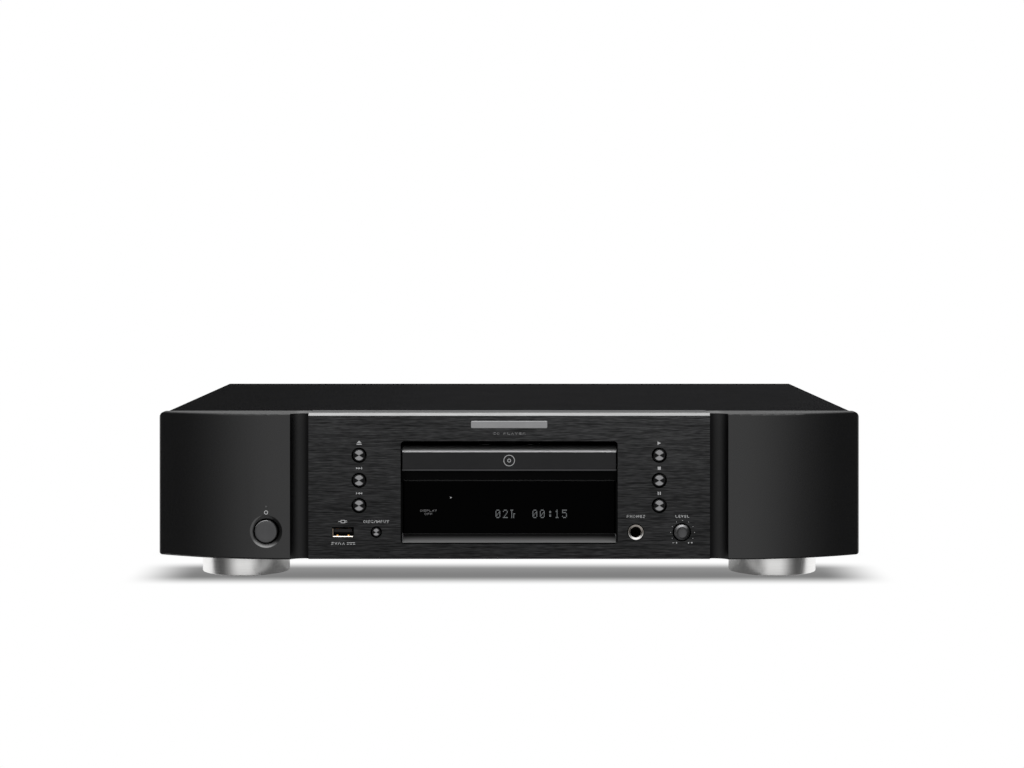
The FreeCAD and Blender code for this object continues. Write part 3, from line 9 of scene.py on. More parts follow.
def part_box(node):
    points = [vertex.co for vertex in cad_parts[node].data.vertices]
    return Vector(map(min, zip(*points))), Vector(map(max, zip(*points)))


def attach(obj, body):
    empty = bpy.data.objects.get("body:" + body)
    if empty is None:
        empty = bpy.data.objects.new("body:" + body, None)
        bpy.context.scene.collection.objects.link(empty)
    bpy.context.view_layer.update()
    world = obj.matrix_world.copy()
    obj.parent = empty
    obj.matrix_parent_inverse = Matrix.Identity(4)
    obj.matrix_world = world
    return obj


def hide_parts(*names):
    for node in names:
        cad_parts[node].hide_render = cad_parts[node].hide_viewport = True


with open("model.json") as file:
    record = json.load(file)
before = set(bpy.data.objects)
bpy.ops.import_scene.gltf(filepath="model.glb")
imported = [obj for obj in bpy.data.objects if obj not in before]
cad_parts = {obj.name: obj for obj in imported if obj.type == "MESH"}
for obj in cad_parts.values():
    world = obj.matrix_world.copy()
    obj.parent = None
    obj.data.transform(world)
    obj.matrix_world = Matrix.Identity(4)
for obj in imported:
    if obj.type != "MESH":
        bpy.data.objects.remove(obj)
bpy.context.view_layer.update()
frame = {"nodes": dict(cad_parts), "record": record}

MM = 0.001
FAR = 1000  # in mm, beyond the player on every side

# ---------- places, read from the frame, in mm


def span(node):
    low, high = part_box(node)
    return low / MM, high / MM


def centre(node):
    low, high = span(node)
    return (low + high) / 2


plate_low, plate_high = span("fascia_plate")
FACE = plate_low.y  # the fascia plate's front
WING_FRONT = span("front_moulding")[0].y  # the wings' flat front, beside the plate
lid_low, lid_high = span("top_cover")
REAR = span("rear_panel")[1].y  # the rear panel's outer face
window_low, window_high = span("display_window")
tray_low, tray_high = span("tray_front")
power = centre("power_button")
knob = centre("level_knob")
jack = centre("headphone_jack")
usb = centre("usb_port")
DISH_RADIUS = 10.1  # the dish round the power key
FOOT_RADIUS = 27.75
MOUNTS = {mount["name"]: Vector(mount["pos_m"]) / MM for mount in frame["record"]["mounts"]}
KEY_SYMBOLS = ("eject", "skip_forward", "skip_back", "play", "stop", "pause")
KEYS = [symbol + "_button" for symbol in KEY_SYMBOLS] + ["disc_input_button"]

# ---------- camera

scene = bpy.context.scene
camera = bpy.data.objects.new("camera", bpy.data.cameras.new("camera"))
scene.collection.objects.link(camera)
camera.data.sensor_width = 36
camera.data.lens = 76.24
camera.data.shift_x = 0.0015
camera.data.shift_y = -0.1224
camera.data.clip_start = 0.05
camera.location = (0.0008, -1.5035, 0.2003)
camera.rotation_euler = (math.radians(90), 0, 0)
scene.camera = camera

# ---------- node trees


def rgba(color):
    """A plain colour with its alpha. A node's output stays as it is."""
    return (*color, 1) if isinstance(color, tuple) else color


class Graph:
    """Short calls that make and join the nodes of one tree. A value is a plain one or a node's output."""

    def __init__(self, tree):
        self.tree = tree

    def node(self, kind, **settings):
        made = self.tree.nodes.new(kind)
        for key, value in settings.items():
            setattr(made, key, value)
        return made

    def link(self, source, target):
        self.tree.links.new(source, target)

    def feed(self, value, target):
        if isinstance(value, bpy.types.NodeSocket):
            self.link(value, target)
        else:
            target.default_value = value

    def wired(self, kind, *values, **settings):
        """The output of a new node whose inputs get the values in order."""
        node = self.node(kind, **settings)
        for value, socket in zip(values, node.inputs):
            self.feed(value, socket)
        return node.outputs[0]

    def maths(self, operation, *values):
        return self.wired("ShaderNodeMath", *values, operation=operation)

    def times(self, first, second):
        return self.maths("MULTIPLY", first, second)

    def less(self, first, second):
        return self.maths("SUBTRACT", first, second)

    def size_of(self, value):
        return self.maths("ABSOLUTE", value)

    def length(self, across, up):
        return self.maths("SQRT", self.maths("ADD", self.times(across, across), self.times(up, up)))

    def remap(self, source, low, high, to_low=0, to_high=1, smooth=False):
        """Goes from to_low to to_high as the source goes from low to high, and no further."""
        return self.wired("ShaderNodeMapRange", source, low, high, to_low, to_high,
                          interpolation_type="SMOOTHSTEP" if smooth else "LINEAR")

    def mix(self, mask, first, second):
        """Goes from the first colour to the second as the mask goes from 0 to 1."""
        node = self.node("ShaderNodeMix", data_type="RGBA")
        self.link(mask, node.inputs[0])
        self.feed(rgba(first), node.inputs[6])
        self.feed(rgba(second), node.inputs[7])
        return node.outputs[2]

    def show(self, output, source):
        """Ends the tree in an output node."""
        self.link(source, self.node(output).inputs["Surface"])

    def part_of(self, vector, letter):
        split = self.node("ShaderNodeSeparateXYZ")
        self.link(vector, split.inputs[0])
        return split.outputs[letter]

    def position(self):
        """Object coordinates, in metres."""
        return self.node("ShaderNodeTexCoord").outputs["Object"]

    def axis(self, letter):
        return self.part_of(self.position(), letter)


def empty_material(name):
    """A material with no nodes yet, and the calls that fill it."""
    material = bpy.data.materials.new(name)
    material.use_nodes = True
    material.node_tree.nodes.clear()
    return material, Graph(material.node_tree)


# ---------- light and floor

scene.view_settings.view_transform = "Standard"
scene.view_settings.look = "None"

# the studio's brightness from straight behind (0) through the sides (0.5) to straight in front (1)
STUDIO_LEVELS = ((0.0, 1.0), (0.455, 1.0), (0.48, 0.08), (0.77, 0.08), (0.87, 0.27), (0.95, 0.70),
                 (0.983, 0.95), (1.0, 0.92))
TABLE_LEVEL = 0.12


def make_world():
    """A white studio: bright in front, above and behind, with dark flags at both sides and a darker table.
    The background itself is plain white to the eye."""
    world = bpy.data.worlds.new("studio")
    scene.world = world
    world.use_nodes = True
    world.node_tree.nodes.clear()
    graph = Graph(world.node_tree)
    ray = graph.node("ShaderNodeTexCoord").outputs["Generated"]
    x, y, z = (graph.part_of(ray, letter) for letter in "XYZ")
    front = graph.maths("DIVIDE", graph.times(y, -1), graph.maths("ADD", graph.length(x, y), 0.001))
    ramp = graph.node("ShaderNodeValToRGB")
    ramp.color_ramp.interpolation = "EASE"
    elements = ramp.color_ramp.elements
    elements[0].position, elements[1].position = STUDIO_LEVELS[0][0], STUDIO_LEVELS[-1][0]
    for place, _ in STUDIO_LEVELS[1:-1]:
        elements.new(place)
    for element, (_, level) in zip(elements, STUDIO_LEVELS):
        element.color = rgba((level,) * 3)
    graph.link(graph.maths("ADD", graph.times(front, 0.5), 0.5), ramp.inputs[0])
    sky = graph.mix(graph.remap(z, 0.30, 0.85, smooth=True), ramp.outputs[0], (1.0,) * 3)
    everything = graph.mix(graph.remap(z, -0.40, -0.85, smooth=True), sky, (TABLE_LEVEL,) * 3)
    lit = graph.wired("ShaderNodeBackground", everything)
    seen = graph.wired("ShaderNodeBackground", (1, 1, 1, 1))
    eye = graph.node("ShaderNodeLightPath").outputs["Is Camera Ray"]
    graph.show("ShaderNodeOutputWorld", graph.wired("ShaderNodeMixShader", eye, lit, seen))


FLOOR_REACH = 6  # in metres, from the middle to each side
SHADE = 0.725  # how dark the painted shadow is
FRONT_SHADE = 0.055  # added to it in front of the painted strip of light


def flat_object(name, corners, faces):
    mesh = bpy.data.meshes.new(name)
    mesh.from_pydata(corners, [], faces)
    thing = bpy.data.objects.new(name, mesh)
    scene.collection.objects.link(thing)
    return thing


def make_floor():
    """A plain white floor with a painted soft shadow under the player. The floor lights nothing."""
    corners = [(x * FLOOR_REACH, y * FLOOR_REACH, 0) for x, y in ((-1, -1), (1, -1), (1, 1), (-1, 1))]
    floor = flat_object("floor", corners, [(0, 1, 2, 3)])
    material, graph = empty_material("floor")

    def ease(source, start, end):
        """Goes from 0 at start to 1 at end."""
        return graph.remap(source, start, end, smooth=True)

    y = graph.axis("Y")
    side = ease(graph.size_of(graph.axis("X")), 0.243, 0.197)
    depth = graph.times(ease(y, -0.1735, -0.1355), ease(y, 0.190, 0.140))
    # a painted strip of light under the front, in place of light reaching in through the gap beneath the
    # wings
    strip = graph.times(ease(y, -0.104, -0.070), ease(y, -0.020, -0.048))
    # painted shadow under the player, broken by the painted strip of light near its front
    shade = graph.times(graph.times(side, depth), graph.less(1.0, strip))
    darkness = graph.maths("ADD", SHADE, graph.times(ease(y, -0.100, -0.130), FRONT_SHADE))
    glow = graph.wired("ShaderNodeEmission", (1, 1, 1, 1), graph.less(1.0, graph.times(shade, darkness)))
    # clear from below, so that the underside can be looked at
    below = graph.node("ShaderNodeNewGeometry").outputs["Backfacing"]
    clear = graph.wired("ShaderNodeBsdfTransparent")
    graph.show("ShaderNodeOutputMaterial", graph.wired("ShaderNodeMixShader", below, glow, clear))
    floor.data.materials.append(material)
    floor.visible_glossy = False
    floor.visible_diffuse = False


# strips of the card, from front to back: half widths and places along Y at both ends, in metres, and the tone
# of the painted reflection
CARD_STRIPS = ((0.085, 0.135, -0.205, -0.150, 0.50), (0.157, 0.157, -0.150, -0.138, 0.40),
               (0.157, 0.157, -0.138, -0.112, 0.12), (0.157, 0.157, -0.112, -0.075, 0.22),
               (0.157, 0.157, -0.075, 0.150, 0.55))
CARD_HEIGHT = 0.0002


def make_shade_card():
    """Strips of grey under the player, seen only as reflections in the inner sides of the feet: a painted
    reflection of the shaded floor beneath.
    """
    corners = [(side * reach, y, CARD_HEIGHT) for front, back, start, end, _ in CARD_STRIPS
               for reach, y in ((front, start), (back, end)) for side in (-1, 1)]
    firsts = range(0, len(corners), 4)
    card = flat_object("shade_card", corners, [(k, k + 1, k + 3, k + 2) for k in firsts])
    for *_, level in CARD_STRIPS:
        material, graph = empty_material(f"shade_card_{level}")
        graph.show("ShaderNodeOutputMaterial", graph.wired("ShaderNodeEmission", rgba((level,) * 3)))
        card.data.materials.append(material)
    card.data.polygons.foreach_set("material_index", range(len(CARD_STRIPS)))
    for ray in ("camera", "diffuse", "shadow", "transmission", "volume_scatter"):
        setattr(card, "visible_" + ray, False)


def make_softbox():
    """A soft light overhead, aimed at the middle of the player's base."""
    light = bpy.data.lights.new("top_softbox", "AREA")
    light.shape = "RECTANGLE"
    light.size, light.size_y = 1.6, 1.2
    light.energy = 9
    softbox = bpy.data.objects.new("top_softbox", light)
    softbox.location = (0, -0.2, 1.9)
    softbox.rotation_euler = (-softbox.location).to_track_quat("-Z", "Y").to_euler()
    scene.collection.objects.link(softbox)


make_world()
make_floor()
make_shade_card()
make_softbox()

# ---------- materials


class Finish(Graph):
    """A procedural material: a base colour that varies, with grain in its roughness and bump."""

    def __init__(self, name, color, metallic=0.0, rough=0.5, spec=0.5, **sockets):
        self.material = bpy.data.materials.new(name)
        self.material.use_nodes = True
        super().__init__(self.material.node_tree)
        self.shader = self.tree.nodes["Principled BSDF"]
        self.rough = rough
        usual = {"Base Color": rgba(color), "Metallic": metallic, "Roughness": rough,
                 "Specular IOR Level": spec}
        for socket, value in (usual | sockets).items():
            self.shader.inputs[socket.replace("_", " ")].default_value = value
        self.color_now = color  # these two are the plain values until a node takes over
        self.rough_now = rough
        self.normal_now = None

    def drive(self, socket, source):
        self.link(source, self.shader.inputs[socket])
        return self

    def turned_position(self):
        """Turns round the axis, and metres along the profile."""
        return self.node("ShaderNodeUVMap", uv_map="turned").outputs[0]

    def noise(self, scale, detail=3.0, offset=(0, 0, 0), source=None):
        """Noise whose cells are 1/scale metres long along each axis."""
        place = self.wired("ShaderNodeMapping", source or self.position(), offset, (0, 0, 0), scale)
        noise = self.node("ShaderNodeTexNoise")
        for socket, value in (("Vector", place), ("Scale", 1.0), ("Detail", detail)):
            self.feed(value, noise.inputs[socket])
        return noise.outputs[0]

    def scale_color(self, factor):
        node = self.node("ShaderNodeVectorMath", operation="SCALE")
        self.feed(self.color_now, node.inputs[0])
        self.link(factor, node.inputs["Scale"])
        self.color_now = node.outputs[0]
        return self.drive("Base Color", self.color_now)

    def vary_color(self, source, amount):
        """Scales the colour by 1 - amount to 1 + amount as a noise goes from low to high."""
        return self.scale_color(self.remap(source, 0.3, 0.7, 1 - amount, 1 + amount))

    def mix_color(self, mask, color):
        self.color_now = self.mix(mask, self.color_now, color)
        return self.drive("Base Color", self.color_now)

    def vary_rough(self, source, amount):
        self.rough_now = self.remap(source, 0.3, 0.7, self.rough - amount, self.rough + amount)
        return self.drive("Roughness", self.rough_now)

    def mix_rough(self, mask, rough):
        node = self.node("ShaderNodeMix", data_type="FLOAT")
        self.link(mask, node.inputs[0])
        self.feed(self.rough_now, node.inputs[2])
        node.inputs[3].default_value = rough
        self.rough_now = node.outputs[0]
        return self.drive("Roughness", self.rough_now)

    def bump(self, source, height_mm):
        node = self.node("ShaderNodeBump")
        node.inputs["Distance"].default_value = height_mm * MM
        self.link(source, node.inputs["Height"])
        if self.normal_now is not None:
            self.link(self.normal_now, node.inputs["Normal"])
        self.normal_now = node.outputs[0]
        return self.drive("Normal", self.normal_now)

    def normal_axis(self, letter):
        return self.part_of(self.node("ShaderNodeTexCoord").outputs["Normal"], letter)

    def grey(self, source):
        """A grey colour from a value."""
        return self.wired("ShaderNodeCombineXYZ", source, source, source)

    def off(self, letter, middle):
        """The signed distance, in metres, from a place in mm along one axis."""
        return self.less(self.axis(letter), getattr(middle, letter.lower()) * MM)

    def reach_from(self, middle):
        """The distance in metres from a line through middle (mm) that runs along Y."""
        return self.length(self.off("X", middle), self.off("Z", middle))

    def ramp(self, source, low, high, to_low=0, to_high=1, smooth=False):
        """As remap, where the source is a place and low and high are in mm."""
        return self.remap(source, low * MM, high * MM, to_low, to_high, smooth)

    def between(self, source, low, high, soft):
        """1 where the source lies between low and high."""
        rise = self.remap(source, low - soft, low + soft)
        fall = self.remap(source, high - soft, high + soft, 1, 0)
        return self.times(rise, fall)

    def within(self, source, low, high, soft=0.1):
        """As between, where the source is a place and the rest is in mm."""
        return self.between(source, low * MM, high * MM, soft * MM)


def plastic(name, color, rough=0.5, spec=0.5, grain=2500, height=0.008, vary=0.08):
    finish = Finish(name, color, rough=rough, spec=spec)
    fine = finish.noise((grain,) * 3, 2)
    return finish.vary_color(finish.noise((40,) * 3, 2), vary).vary_rough(fine, 0.04).bump(fine, height)


def metal(name, color, rough, grain=(3000,) * 3, height=0.004, vary=0.08):
    finish = Finish(name, color, metallic=1.0, rough=rough)
    fine = finish.noise(grain, 3)
    return finish.vary_color(finish.noise((35,) * 3, 2), vary).vary_rough(fine, 0.06).bump(fine, height)


def turned_metal(name, color, rough, anisotropic, groove=0.001):
    """Metal from the lathe. Its highlights stretch across the fine grooves round its axis."""
    finish = Finish(name, color, 1.0, rough, Anisotropic=anisotropic, Anisotropic_Rotation=0.25)
    lines = finish.noise((9, 5000, 1), 3, source=finish.turned_position())
    finish.vary_color(lines, 0.10).vary_rough(lines, 0.05).bump(lines, groove)
    tangent = finish.wired("ShaderNodeTangent", direction_type="UV_MAP", uv_map="turned")
    return finish.drive("Tangent", tangent)


def spun_key_finish():
    """The key caps' spun faces: circular brushing, with a painted highlight above and below the centre."""
    finish = turned_metal("spun_key", (0.285, 0.285, 0.29), rough=0.34, anisotropic=0.5)
    # painted highlight: the face is darkened at its sides, so it stays lighter above and below the centre
    turns = finish.part_of(finish.turned_position(), "X")
    upright = finish.size_of(finish.maths("SINE", finish.times(turns, math.tau)))
    return finish.scale_color(finish.remap(upright, 0.40, 0.66, 0.04, 1.0, smooth=True))


def fascia_finish():
    """Black anodised aluminium with horizontal brushing, cut away along the top bevel. Painted light makes it
    lighter towards its top and its right, and a painted highlight on the bevel fades from left to right.
    """
    finish = Finish("fascia_aluminium", (0.0275, 0.0277, 0.0283), metallic=1.0, rough=0.42)
    long_streaks = finish.noise((75, 800, 2100), 1.5)
    fine_streaks = finish.noise((190, 2500, 3100), 1.5, offset=(3, 5, 7))
    finish.vary_color(long_streaks, 0.56).vary_color(fine_streaks, 0.42)
    finish.vary_color(finish.noise((9, 9, 30), 2), 0.10).vary_rough(long_streaks, 0.06)
    finish.bump(long_streaks, 0.006).bump(fine_streaks, 0.004)
    x, z = finish.axis("X"), finish.axis("Z")
    # painted light: lighter towards the top and towards the right
    finish.scale_color(finish.ramp(z, plate_low.z, plate_high.z, 0.84, 1.50))
    finish.scale_color(finish.ramp(x, plate_low.x, plate_high.x, 0.94, 1.06))
    # painted highlight on the bare cut bevel, fading from left to right
    slope = finish.between(finish.normal_axis("Z"), 0.5, 0.9, 0.05)
    top = finish.ramp(z, plate_high.z - 3, plate_high.z - 2.5)
    tone = finish.ramp(x, plate_low.x, plate_high.x, 0.31, 0.28)
    return finish.mix_color(finish.times(slope, top), finish.grey(tone))


def tray_front_finish():
    """Satin black with painted shade on its top slope, a painted highlight line where it meets the face, and
    a painted highlight that makes the lower bevel paler.
    """
    finish = metal("tray_front_black", (0.0275, 0.0275, 0.0285), rough=0.42, grain=(150, 3000, 3000),
                   vary=0.05)
    z = finish.axis("Z")
    crease = tray_high.z - 2.7  # where the slope starts
    # painted shade on the top slope, lightest at the crease
    slope = finish.ramp(z, crease, tray_high.z, 0.32, 0.02)
    finish.mix_color(finish.within(z, crease, FAR), finish.grey(slope))
    # painted highlight along the crease, and below, a painted highlight on the lower bevel
    finish.mix_color(finish.within(z, crease - 1.3, crease), (0.80, 0.80, 0.81))
    return finish.mix_color(finish.within(z, 0, tray_low.z + 1), (0.14, 0.14, 0.145))


def bezel_finish():
    """Black, with a painted highlight on the sloping ledge below the window that grows paler towards its
    front edge, and painted highlights on the ledge's ends.
    """
    finish = plastic("window_bezel", (0.0012, 0.0012, 0.0013), rough=0.55, spec=0.04)
    z = finish.axis("Z")
    ledge = span("window_bezel")[0].z + 6
    # painted highlight on the ledge, fading away from its front edge
    facing_up = finish.remap(finish.normal_axis("Z"), 0.2, 0.4)
    tone = finish.ramp(z, ledge + 0.6, ledge + 4.3, 0.225, 0.008, smooth=True)
    finish.mix_color(finish.times(finish.within(z, 0, window_low.z - 0.1), facing_up), finish.grey(tone))
    # painted highlights on the ledge's ends
    end = finish.times(finish.between(finish.size_of(finish.normal_axis("X")), 0.6, 1.1, 0.05),
                       finish.within(z, ledge, ledge + 5.5))
    inside = finish.within(finish.size_of(finish.axis("X")), 0, window_high.x + 2.2)
    return finish.mix_color(finish.times(end, inside), (0.50, 0.50, 0.51))


def wing_finish():
    """Satin black moulding: matt and painted lighter where it faces up, bare metal in the dish round the
    power key, with painted light and shade in the dish and the cove.
    """
    finish = plastic("satin_moulding", (0.0042, 0.0042, 0.0046), rough=0.30, spec=0.57, grain=3600,
                     height=0.004)
    inner = finish.size_of(finish.axis("X"))
    edge = plate_high.x
    up = finish.remap(finish.normal_axis("Z"), 0.80, 0.97)
    # painted light: faces that look up are lighter, most of all beside the plate
    lit_top_band = finish.ramp(inner, edge - 0.5, edge + 0.5, 0.031, 0.070)
    finish.mix_rough(up, 0.95).mix_color(up, finish.grey(lit_top_band))
    # the cove beside the plate is matt, and painted shade dims the reflection in its corner beside the plate
    finish.mix_rough(finish.ramp(inner, edge + 6, edge + 12, 1, 0, smooth=True), 0.60)
    corner = finish.ramp(inner, edge + 2, edge + 6.5, 1, 0)
    finish.drive("Specular Tint", finish.mix(corner, (1, 1, 1), (0.24,) * 3))
    reach = finish.reach_from(power)
    dish = finish.within(reach, -FAR, DISH_RADIUS, 0.05)
    finish.mix_rough(dish, 0.34).drive("Metallic", dish)
    # painted highlight along the bottom of the spun dish, a painted lighter tone towards its left, and
    # painted shade in the gap round the key
    across = finish.off("X", power)
    down = finish.times(finish.off("Z", power), -1)
    light_lean = finish.less(down, finish.times(across, 0.10))
    bottom = finish.remap(finish.maths("DIVIDE", light_lean, reach), 0.40, 0.97, 0.0, 0.36, smooth=True)
    top = finish.remap(finish.maths("DIVIDE", across, reach), -0.6, 0.8, 0.11, 0.07)
    gap = finish.ramp(reach, 7.75, 8.15, smooth=True)
    return finish.mix_color(dish, finish.grey(finish.times(gap, finish.maths("MAXIMUM", bottom, top))))


def power_finish():
    """The power key's turned face, with a painted highlight on its rim at its upper left."""
    finish = turned_metal("power_face", (0.091, 0.091, 0.093), rough=0.42, anisotropic=0.3)
    # painted highlight on the rim, towards the upper left
    light_lean = finish.maths("ADD", finish.times(finish.normal_axis("X"), -0.50),
                        finish.times(finish.normal_axis("Z"), 0.87))
    return finish.mix_color(finish.remap(light_lean, 0.48, 0.66, smooth=True), (0.42, 0.42, 0.425))


def skirt_finish():
    """The level knob's skirt, with painted light: lighter towards its upper left and darker below and to the
    right.
    """
    finish = turned_metal("knob_skirt", (0.42, 0.42, 0.425), rough=0.34, anisotropic=0.3)
    # painted light: lighter towards the upper left, darker below and to the right
    light_lean = finish.less(finish.normal_axis("Z"), finish.times(finish.normal_axis("X"), 0.45))
    return finish.scale_color(finish.remap(light_lean, -0.15, 0.70, 0.20, 0.82, smooth=True))


def mouth_finish(name, color, shaded, middle, dark, edge, **more):
    """Plated metal at the mouth of a socket, with a painted highlight that makes it brightest at the bottom,
    and painted shade that makes it dark behind.
    """
    finish = metal(name, shaded, **more)
    # painted highlight at the bottom of the mouth, then painted shade behind it
    finish.mix_color(finish.ramp(finish.axis("Z"), middle, middle - 1.5), color)
    return finish.mix_color(finish.ramp(finish.axis("Y"), edge - 0.15, edge + 0.15), dark)


def usb_finish():
    """The USB port's shell: darker inside its left wall, where a painted tan reflection lies, with painted
    orange glints on the two springs that grip the plug.
    """
    finish = mouth_finish("usb_metal", (0.90, 0.85, 0.79), (0.26, 0.21, 0.17), usb.z - 1.2,
                          (0.030, 0.024, 0.026), FACE + 0.8, rough=0.22, height=0.0005)
    # painted tan reflection on the left wall
    finish.mix_color(finish.ramp(finish.axis("X"), usb.x - 5.95, usb.x - 5.85, 1, 0), (0.34, 0.28, 0.22))
    # painted orange glints on the springs
    springs = finish.times(finish.within(finish.size_of(finish.off("X", usb)), 2.7, 4.1),
                           finish.within(finish.axis("Y"), FACE + 0.85, FACE + 4.5))
    return finish.mix_color(springs, (0.95, 0.52, 0.16))


def ferrule_finish():
    """The headphone socket's ferrule, with a painted highlight in its lower half and painted shade on its
    outer slope.
    """
    finish = metal("ferrule_metal", (0.50, 0.46, 0.42), rough=0.18, height=0.0005)
    # painted highlight in the lower half, then painted shade on the outer slope
    finish.mix_color(finish.ramp(finish.axis("Z"), jack.z, jack.z - 2), (1.0, 0.98, 0.96))
    return finish.mix_color(finish.ramp(finish.reach_from(jack), 4.58, 4.66), (0.09, 0.085, 0.08))


def inlet_finish():
    """A black moulding with bare metal blades."""
    finish = plastic("inlet_black", (0.006, 0.006, 0.0065), rough=0.45, spec=0.4)
    place = MOUNTS["mains_inlet"]
    blade = finish.times(finish.within(finish.size_of(finish.off("X", place)), 5.5, 8.5, 0.02),
                         finish.within(finish.size_of(finish.off("Z", place)), -FAR, 2.1, 0.02))
    blade = finish.times(blade, finish.within(finish.axis("Y"), REAR - 18.4, REAR - 2.9))
    return finish.drive("Metallic", blade).mix_color(blade, (0.62, 0.60, 0.56))


def lid_finish():
    """The lid's paint, with painted light and shade: darker towards its left edge, and lighter on its sides.
    """
    finish = plastic("lid_paint", (0.0100, 0.0100, 0.0106), rough=0.7, spec=0.001, grain=1700, height=0.012)
    # painted shade towards the left edge, then painted light on the sides
    finish.scale_color(finish.ramp(finish.axis("X"), lid_low.x, 0, 0.50, 1.0, smooth=True))
    return finish.scale_color(finish.remap(finish.size_of(finish.normal_axis("X")), 0.5, 0.9, 1.0, 3.0))


def window_finish():
    """Smoked acrylic with painted highlights along its upper and lower edges."""
    finish = Finish("smoked_acrylic", (0.0005, 0.0005, 0.0006), rough=0.06, spec=0.012)
    finish.vary_rough(finish.noise((25,) * 3), 0.015)
    z = finish.axis("Z")
    # painted highlights along the upper and lower edges
    finish.mix_color(finish.within(z, window_high.z - 0.7, FAR), (0.085, 0.085, 0.086))
    return finish.mix_color(finish.within(z, 0, window_low.z + 0.6), (0.055, 0.055, 0.056))


black_plastic = plastic("black_plastic", (0.0045, 0.0045, 0.005), spec=0.35)
case_paint = plastic("case_paint", (0.014, 0.014, 0.015), rough=0.55, spec=0.3, grain=1700, height=0.012)
silver = metal("silver", (0.62, 0.62, 0.63), rough=0.3)
badge_silver = metal("badge_silver", (0.28, 0.28, 0.285), rough=0.32, grain=(150, 3000, 5000))
foot_silver = turned_metal("foot_aluminium", (0.89, 0.885, 0.875), rough=0.33, anisotropic=0.65, groove=0.003)
key_silver = spun_key_finish()
key_black = plastic("key_black", (0.006, 0.006, 0.0065), rough=0.35, spec=0.4)
power_black = power_finish()
knob_skirt = skirt_finish()
knob_cap = turned_metal("knob_cap", (0.090, 0.090, 0.092), rough=0.40, anisotropic=0.3)
shaft_black = plastic("shaft_black", (0.006, 0.006, 0.0065))
# the jack's mouth: a painted highlight at the bottom and painted shade behind
jack_metal = mouth_finish("jack_metal", (1.0, 0.98, 0.96), (0.74, 0.69, 0.64), jack.z - 1.0,
                          (0.010, 0.008, 0.006), FACE + 0.85, rough=0.24)
ferrule_metal = ferrule_finish()
usb_metal = usb_finish()
usb_brown = plastic("usb_brown", (0.006, 0.0045, 0.0055), spec=0.3)
lamp_smoke = plastic("lamp_smoke", (0.11, 0.11, 0.112), rough=0.3)
plated = metal("plated_steel", (0.50, 0.51, 0.50), rough=0.38, grain=(900,) * 3, height=0.006, vary=0.14)
dark_screw = metal("black_screw", (0.05, 0.05, 0.05), rough=0.4)
gold = metal("gold_plate", (0.83, 0.60, 0.25), rough=0.22)
rubber = plastic("rubber", (0.012, 0.012, 0.012), rough=0.8, spec=0.25, grain=1200, height=0.02)
board = plastic("circuit_board", (0.02, 0.10, 0.04), rough=0.35, grain=900, height=0.01, vary=0.2)
chip_black = plastic("component_black", (0.012, 0.012, 0.013))
gear_white = plastic("white_gear", (0.72, 0.70, 0.64), rough=0.4, grain=1800, height=0.004, vary=0.04)
loader_grey = plastic("loader_plastic", (0.035, 0.035, 0.038), rough=0.55, grain=1300, height=0.012)
tray_plastic = plastic("tray_plastic", (0.012, 0.012, 0.013), rough=0.42, spec=0.4, grain=1600)
motor_steel = metal("motor_steel", (0.55, 0.55, 0.56), rough=0.3, grain=(600,) * 3)
rod_steel = metal("rod_steel", (0.72, 0.72, 0.73), rough=0.12)
cast_metal = metal("sled_metal", (0.36, 0.36, 0.38), rough=0.5, grain=(1100,) * 3, height=0.02)
lens_glass = Finish("lens_glass", (0.10, 0.16, 0.34), rough=0.05, spec=0.8, Coat_Weight=1.0)
lens_glass.vary_color(lens_glass.noise((500,) * 3), 0.25)
laminated = Finish("core_steel", (0.10, 0.10, 0.105), metallic=0.6, rough=0.5)
laminated.vary_color(laminated.noise((40, 1900, 40), 2), 0.45).bump(laminated.noise((20, 1900, 20), 1), 0.05)
copper = Finish("coil_copper", (0.45, 0.16, 0.06), metallic=0.7, rough=0.32)
copper.bump(copper.noise((30, 30, 1600), 1), 0.1).vary_color(copper.noise((60, 60, 1600), 2), 0.4)
display_glass = plastic("display_glass", (0.010, 0.014, 0.016), rough=0.1, height=0.001)
legend_ink = plastic("legend_ink", (0.62, 0.625, 0.63), rough=0.55, spec=0.2, height=0.002)
faint_ink = plastic("faint_ink", (0.27, 0.27, 0.275), rough=0.55, spec=0.2, height=0.002)
digit_glow = Finish("display_digits", (0.02, 0.02, 0.02), rough=0.4, spec=0.1,
                    Emission_Color=(0.92, 0.97, 1.0, 1), Emission_Strength=0.18)
digit_glow.vary_color(digit_glow.noise((900,) * 3), 0.2)

PAINT = (
    (fascia_finish(), "fascia_plate"), (wing_finish(), "front_moulding"), (bezel_finish(), "window_bezel"),
    (tray_front_finish(), "tray_front"), (window_finish(), "display_window"), (lid_finish(), "top_cover"),
    (inlet_finish(), "ac_inlet"), (badge_silver, "badge"), (case_paint, "rear_panel clamp_bridge"),
    (plated, "chassis_pan traverse_frame mech_brackets"), (silver, "feet"),
    (rubber, "foot_pads loading_belt mech_dampers"), (dark_screw, "cover_screws base_screws"),
    (lamp_smoke, "power_lamp"), (power_black, "power_button"), (shaft_black, "level_knob"),
    (chip_black, "power_switch level_pot key_switches board_components"), (jack_metal, "headphone_jack"),
    (usb_metal, "usb_port"), (usb_brown, "usb_tongue"), (board, "front_board main_board"),
    (display_glass, "display_module"), (loader_grey, "loader_chassis"), (tray_plastic, "disc_tray"),
    (black_plastic, "clamp_puck turntable_hub optical_socket optical_shutter"), (rod_steel, "guide_rods"),
    (motor_steel, "spindle_motor sled_motor loading_motor"), (cast_metal, "pickup_sled"),
    (gear_white, "sled_pinion sled_gear cam_slider motor_pulley pulley_gear tray_gear"),
    (lens_glass, "objective_lens"), (laminated, "transformer_core"), (copper, "transformer_coil"),
    (gold, "phono_sockets"), (key_black, " ".join(KEYS)),
)

